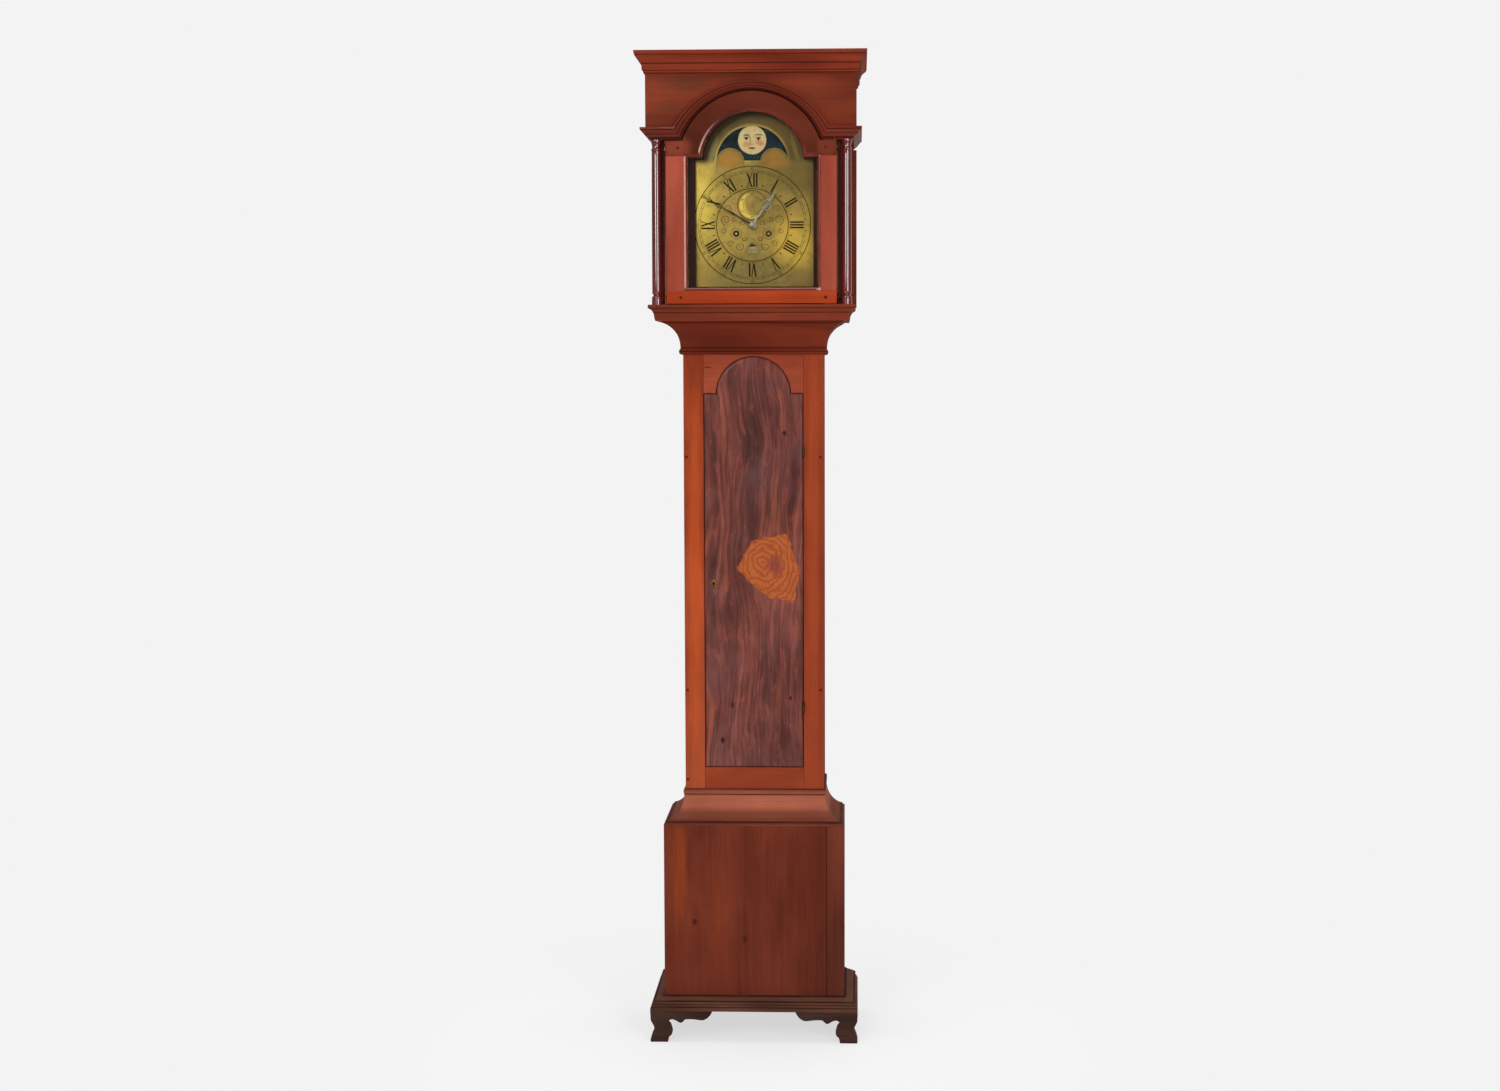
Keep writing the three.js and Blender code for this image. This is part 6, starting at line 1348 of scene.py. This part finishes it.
stem = np.array([.07, .2, .33, .35, .37, .46, .58, .7, .82, .86, .9, 1.0])[:, None] * (0, hour_long)
stem_wide = np.array([4.4, 3.0, 2.8, 6.4, 2.8, 3.4, 2.2, 2.0, 2.6, 5.6, 2.4, .5])
hour_parts.append(ribbon(round_dial(stem, hour_turn, 0.0), stem_wide, hour_front, hour_rear))
boss = np.array([[4.95, -69.4], [4.95, -71.9], [8.4, -72.0], [9.5, -71.5], [9.6, -70.6], [9.2, -69.6],
                 [8.2, -69.4]])
turn = around(64)[:, None]
rings = np.stack([boss[None, :, 0] * np.cos(turn), np.broadcast_to(boss[:, 1], (64, len(boss))),
                  dial_z + boss[None, :, 0] * np.sin(turn)], -1)
hour_parts.append((rings.reshape(-1, 3), looped(rings, close_path=True)[0]))
gathered("hour_hand_pierced", hour_parts, bright_steel, "hours", ["hour_hand"], smooth=40)
collet = [[0, -78.9], [1.9, -78.8], [2.3, -78.3], [4.6, -78.3], [5.7, -78.0], [5.9, -77.4], [5.4, -77.1],
          [0, -77.1]]
turned_up("minute_collet", collet, (0, 0, dial_z), bright_steel, "minutes", "steel", steps=48, axis="y")


# Hood base: the bottom frame of the sliding hood, moulded on three sides. It rests on the throat
# moulding and runs back on it.
wall_half, hood_base_front, hood_floor = 226.0, -107.0, 1751.0
# Dark lines along the hood base's fillets: old dirt and painted shade in its creases.
crease_dirt_and_shade = level((1732.5, 1.6, .75), (1743.5, 1.4, .6))
hood_base_wood = polished_wood("hood_base_mahogany", (110, 49, 33), (150, 67, 43), "map", figure=6,
                               streaks=.45, shade=((44, 18, 14), crease_dirt_and_shade))
hood_base_section = curved([[0, .04], [.08, .1], [.14, .28], [.2, .45], [.3, .5], [.34, .56], [.52, .66],
                            [.8, .74], [1, .78], [1, .95], [.93, 1]], 1, 3)
run_moulding("hood_base_dressed", hood_base_section, 15.5, throat_top, hood_floor, wall_half,
             hood_base_front, hood_base_wood, "hood_wood", "hood_base_frame", "hood",
             tail=[(-42, hood_floor), (-42, throat_top), (0, throat_top)])


# Hood walls: on each side a board, a corner post with a slim bead, a strip at the rear and the
# return of the frieze above.
hood_top, return_bottom, frieze_low, frieze_half = 2318.0, 2130.0, 2143.8, 243.8
wall_front, wall_thick, bead_x = -88.4, 14.0, 202.2
hood_wood = polished_wood("hood_mahogany", (110, 42, 27), (150, 60, 40), "z", (0, .2, .4), figure=7)
post_wood = polished_wood("post_mahogany", (112, 50, 36), (150, 70, 50), "z", (0, .9, 0), figure=8)
return_wood = polished_wood("frieze_return_mahogany", (92, 40, 28), (126, 56, 38), "y", (0, .4, 0), figure=7)
bead_wood = polished_wood("bead_mahogany", (62, 18, 14), (104, 32, 22), "map", figure=7, streaks=.4,
                          rough=.13, cloud=.3, gloss=1.0)
bead_foot = np.array([[0, 0], [4, 0], [4, 13], [3.6, 14], [2.6, 16], [2.6, 18], [3.8, 20], [3.8, 23],
                      [3.2, 26]])
bead_cap = np.array([[3.1, -26], [3.8, -23], [3.8, -21], [3, -18], [3, -12], [3.8, -8], [4.2, 0], [0, 0]])
bead_line = np.concatenate([bead_foot + [0, hood_floor], bead_cap + [0, return_bottom]])
for name, side in (("left", -1), ("right", 1)):
    for word, inner, outer, front, rear, low, high, wood, replaced in (
            ("hood_wall", wall_half - wall_thick, wall_half, wall_front, back, hood_floor, hood_top,
             hood_wood, [f"hood_side_{name}"]),
            ("hood_post", 199, wall_half, wall_front - .2, -66.4, hood_floor, hood_top, post_wood, ()),
            ("hood_strip", 219, frieze_half, 125, back, hood_floor, return_bottom, post_wood, ()),
            ("frieze_return", 219, frieze_half, -106.8, back, frieze_low, hood_top, return_wood, ())):
        left, right = sorted((side * inner, side * outer))
        board(f"{word}_{name}", (left, front, low), (right, rear, high), wood, "hood", "hood_wood", replaced)
    turned_up(f"post_bead_{name}", bead_line, (side * bead_x, wall_front, 0), bead_wood, "hood", "hood_wood",
              steps=32, smooth=30)


# Mask: a thin dark board behind the hood door, cut out to frame the dial.
mask_wood = polished_wood("mask_wood", (58, 34, 26), (84, 48, 34), "x", figure=6, rough=.55, coat=.1)
dress(mask_wood, "dial_mask")


# Columns: two slender turned columns with a square-shouldered foot and a small cap, polished
# bright, that stand free between the hood base and the return moulding.
column_wood = polished_wood("column_mahogany", (84, 22, 22), (124, 36, 30), "map", figure=7, streaks=.4,
                            rough=.4, cloud=.3, coat=1.0, coat_ior=2.1)
column_x, column_y, column_high = 221.0, -106.2, return_bottom - hood_floor
foot_line = [[0, 0], [12.2, 0], [12.2, .036], [11.4, .037], [12, .041], [12.1, .0455], [11.4, .05],
             [9.4, .053], [8.4, .058], [8.6, .0625], [10.8, .066], [11.9, .0705], [11.6, .075],
             [11, .078], [11.2, .09], [11.3, .1]]
shaft = [[11.3 - .9 * t ** 1.6, .1 + .835 * t] for t in np.linspace(.05, .95, 14)]
cap_line = [[10.4, .93], [10.9, .936], [11.6, .9405], [11.6, .945], [10, .949], [9.4, .953],
            [9.5, .964], [10.2, .974], [11.4, .984], [11.8, .987], [11.8, 1], [0, 1]]
column = np.array(foot_line + shaft + cap_line) * [1, column_high] + [0, hood_floor]
for name, side in (("left", -1), ("right", 1)):
    turned_up(f"column_{name}_turned", column, (side * column_x, column_y, 0), column_wood, "hood",
              "hood_wood", [f"hood_column_{name}"], steps=72, smooth=28)


# Frieze: the hood's front board, sawn to the arch, with level grain and a bloom of lighter wood
# at its left. The top is a plain pine board that carries nothing.
bloom = near((-150, 2255, 60, 22, .6), (-190, 2200, 40, 14, .4))
frieze_wood = polished_wood("frieze_mahogany", (100, 42, 29), (134, 60, 37), "x", (.3, .8, .2), figure=7,
                            glow=((84, 52, 36), bloom))
dress(frieze_wood, "hood_front_board")
top_pine = plain_pine("hood_top_pine", (118, 82, 50), (150, 114, 78), "x", (.9, 0, 0))
dress(top_pine, "hood_top_board")


# Hood moulding: it starts at the wall on each side, turns the corner, climbs round the arch and
# comes down again. The arch is cut from one board, so its grain runs on level.
front_plane, return_tall, return_out = -124.8, 27.0, 12.3
return_section = curved([[0, 1], [.96, 1], [1, .97], [1, .82], [.8, .76], [.6, .66], [.3, .5], [-.05, .32],
                         [-.4, .2], [-.55, .16], [-.55, .08], [-.85, .05], [-.9, 0]], 3, 8, 3)
out = np.concatenate([return_section[:, 0] * return_out, [wall_half - frieze_half] * 2, [0]])
share = np.concatenate([return_section[:, 1], [0, .5, .5]])
up = return_bottom + return_tall * share
radius, centre = 172.0 + 34.0 * share, 2072.0 - 17.0 * share
foot = np.arcsin((up - centre) / radius)
turn = (np.pi - foot)[None] - (np.pi - 2 * foot)[None] * np.linspace(0, 1, 97)[:, None]
bend = np.stack([radius * np.cos(turn), np.broadcast_to(front_plane - out, turn.shape),
                 centre + radius * np.sin(turn)], -1)
corner = np.stack([-frieze_half - out, front_plane - out, up], -1)
rear = np.stack([-frieze_half - out, np.full(len(out), back), up], -1)
mirror = np.array([-1, 1, 1])
rings = np.concatenate([[rear], [corner], bend, [corner * mirror], [rear * mirror]])
far_across = np.linalg.norm(np.diff(rings, axis=1), axis=2).mean(0).cumsum()


def across(*bands):
    """Share of soft bands that run along a moulding: (height share, half width, strength)."""
    def paint(tree):
        along = node(tree, "SeparateXYZ", {0: node(tree, "TexCoord").outputs["UV"]}).outputs[1]
        return soft_bands(tree, along, [
            (float(np.interp(-height, -share[1:-3], far_across[:-3])) / 1000, half, strength)
            for height, half, strength in bands])
    return paint


# Dark lines along the arch moulding's fillets: old dirt and painted shade in its creases.
crease_dirt_and_shade = across((.79, 1.8, .8), (.45, 2.6, .45), (.12, 3.4, .8))
arch_wood = polished_wood("arch_moulding_mahogany", (92, 36, 25), (132, 54, 36), "map", (.2, .3, 0), figure=6,
                          streaks=.45, coat=.15, coat_ior=1.6, shade=((40, 16, 14), crease_dirt_and_shade))
skinned("hood_arch_moulding", rings, arch_wood, "hood", "hood_wood", ["hood_moulding"], smooth=32)


# Cornice: the flat-topped crown moulding of the hood, mitred at its two front corners.
# Dark lines along the cornice's fillets: old dirt and painted shade in its creases.
crease_dirt_and_shade = level((2280.5, 1.6, .8), (2286, 1.4, .5), (2302, 1.6, .7), (2320.5, 1.5, .65))
cornice_wood = polished_wood("cornice_mahogany", (110, 43, 28), (150, 63, 39), "map", (.1, .6, 0), figure=6,
                             streaks=.4, shade=((44, 16, 12), crease_dirt_and_shade))
cornice_section = curved([[0, 0], [.06, 0], [.14, .04], [.17, .1], [.17, .14], [.27, .16], [.3, .22],
                          [.3, .44], [.38, .46], [.4, .52], [.5, .62], [.66, .71], [.84, .77], [.93, .79],
                          [.93, .84], [.98, .86], [1, .95], [1, 1], [0, 1]], 9, 13)
run_moulding("cornice_dressed", cornice_section, 24.2, 2279.0, 2330.0, frieze_half, front_plane,
             cornice_wood, "hood_wood", "cornice_moulding", "hood")


# Hood door: two stiles, a bottom rail and an arched head, pegged at the corners, with an ovolo
# worked round the sight edge. The glass lies in a rebate behind it.
door_half, door_foot = 198.0, 1753.0
hood_door = (0.0, door_half, door_foot, 2127.4, 2072.0, 168.4)
sight = (2.5, 150.0, 1791.0, 2089.0, 2075.5, 119.0)
hood_door_front, hood_door_back, sight_edge, joint_z = -120.4, -100.4, 8.7, 2092.0
sight_counts = (24, 48, 6, 56)
stile_wood = polished_wood("hood_stile_wood", (132, 59, 44), (170, 81, 61), "z", (.5, .1, 0), figure=6,
                           streaks=.4)
door_rail_wood = polished_wood("hood_rail_wood", (138, 50, 26), (176, 70, 34), "x", (0, .1, 0), figure=6,
                               streaks=.4)
worn_corners = near((-172, 2112, 44, 34, .75), (178, 2112, 30, 30, .4))
door_head_wood = polished_wood("hood_head_wood", (76, 34, 22), (106, 48, 33), "x", (.3, 0, .1), figure=6,
                               streaks=.4, glow=((142, 66, 48), worn_corners))
inner_left, inner_right = sight[0] - sight[1] - sight_edge, sight[0] + sight[1] + sight_edge
rail_top = sight[2] - sight_edge
board("hood_door_rail", (-door_half, hood_door_front, door_foot), (door_half, hood_door_back, rail_top),
      door_rail_wood, "hood_door", "hood_wood", ["hood_door_frame"], bevel=.7)
for name, low, high in (("left", -door_half, inner_left), ("right", inner_right, door_half)):
    board(f"hood_door_stile_{name}", (low, hood_door_front + .15, rail_top), (high, hood_door_back, joint_z),
          stile_wood, "hood_door", "hood_wood", bevel=.7)
outside = arched(*hood_door, counts=(1, 1, 1, 72))[2:]
inside = arched(*sight, grow=sight_edge, counts=(1, 1, 1, 56))[2:]
head = np.concatenate([[(door_half, joint_z)], outside, [(-door_half, joint_z), (inner_left, joint_z)],
                       inside[::-1], [(inner_right, joint_z)]])
panel("hood_door_head", head, hood_door_front, hood_door_back, door_head_wood, "hood_door", "hood_wood",
      bevel=.5)
ovolo = smooth_line([[1, 0], [.96, .03], [.8, .08], [.63, .135], [.47, .19], [.3, .33], [.12, .62],
                     [0, 1]], 3)
ovolo_deep, rebate_wide, rebate_front = 8.0, 5.0, hood_door_front + 12
ovolo_rings = [upright(arched(*sight, grow=grow * sight_edge, counts=sight_counts),
                       hood_door_front + .1 + deep * ovolo_deep) for grow, deep in ovolo]
ovolo_rings += [upright(arched(*sight, grow=grow, counts=sight_counts), deep)
                for grow, deep in ((0, rebate_front), (rebate_wide, rebate_front),
                                   (rebate_wide, hood_door_back), (sight_edge, hood_door_back))]
ovolo_wood = polished_wood("ovolo_wood", (80, 27, 17), (118, 44, 30), "map", figure=6, streaks=.3, rough=.13,
                           gloss=1.0)
skinned("hood_door_ovolo", np.stack(ovolo_rings), ovolo_wood, "hood_door", "hood_wood", smooth=35,
        close_path=True)
pegs("hood_door_pegs", [(-169.9, 2110.6), (172.1, 2110.8), (-164.1, 1767), (171.9, 1767)], hood_door_front,
     peg_wood, "hood_door")
dress(hinge_brass, "hood_door_pivot_top", "hood_door_pivot_bottom")


def old_glass():
    """Thin old glass: clear, with a Fresnel share of sharp reflection and slow ripples."""
    material = bpy.data.materials.new("old_glass")
    material.use_nodes = True
    tree = material.node_tree
    tree.nodes.clear()
    place = node(tree, "TexCoord").outputs["Object"]
    ripple = noise(tree, place, 14.0, 2.0)
    bump = node(tree, "Bump", {"Strength": .25, "Distance": .0012, "Height": ripple}).outputs[0]
    clear = node(tree, "BsdfTransparent", {"Color": (.95, .96, .94, 1)})
    gloss = node(tree, "BsdfGlossy", {"Color": (1, 1, 1, 1), "Roughness": .03, "Normal": bump})
    share = node(tree, "Fresnel", {"IOR": 1.3, "Normal": bump}).outputs[0]
    both = node(tree, "MixShader", {0: share, 1: clear.outputs[0], 2: gloss.outputs[0]})
    node(tree, "OutputMaterial", {"Surface": both.outputs[0]})
    return material


dress(old_glass(), "hood_door_glass")
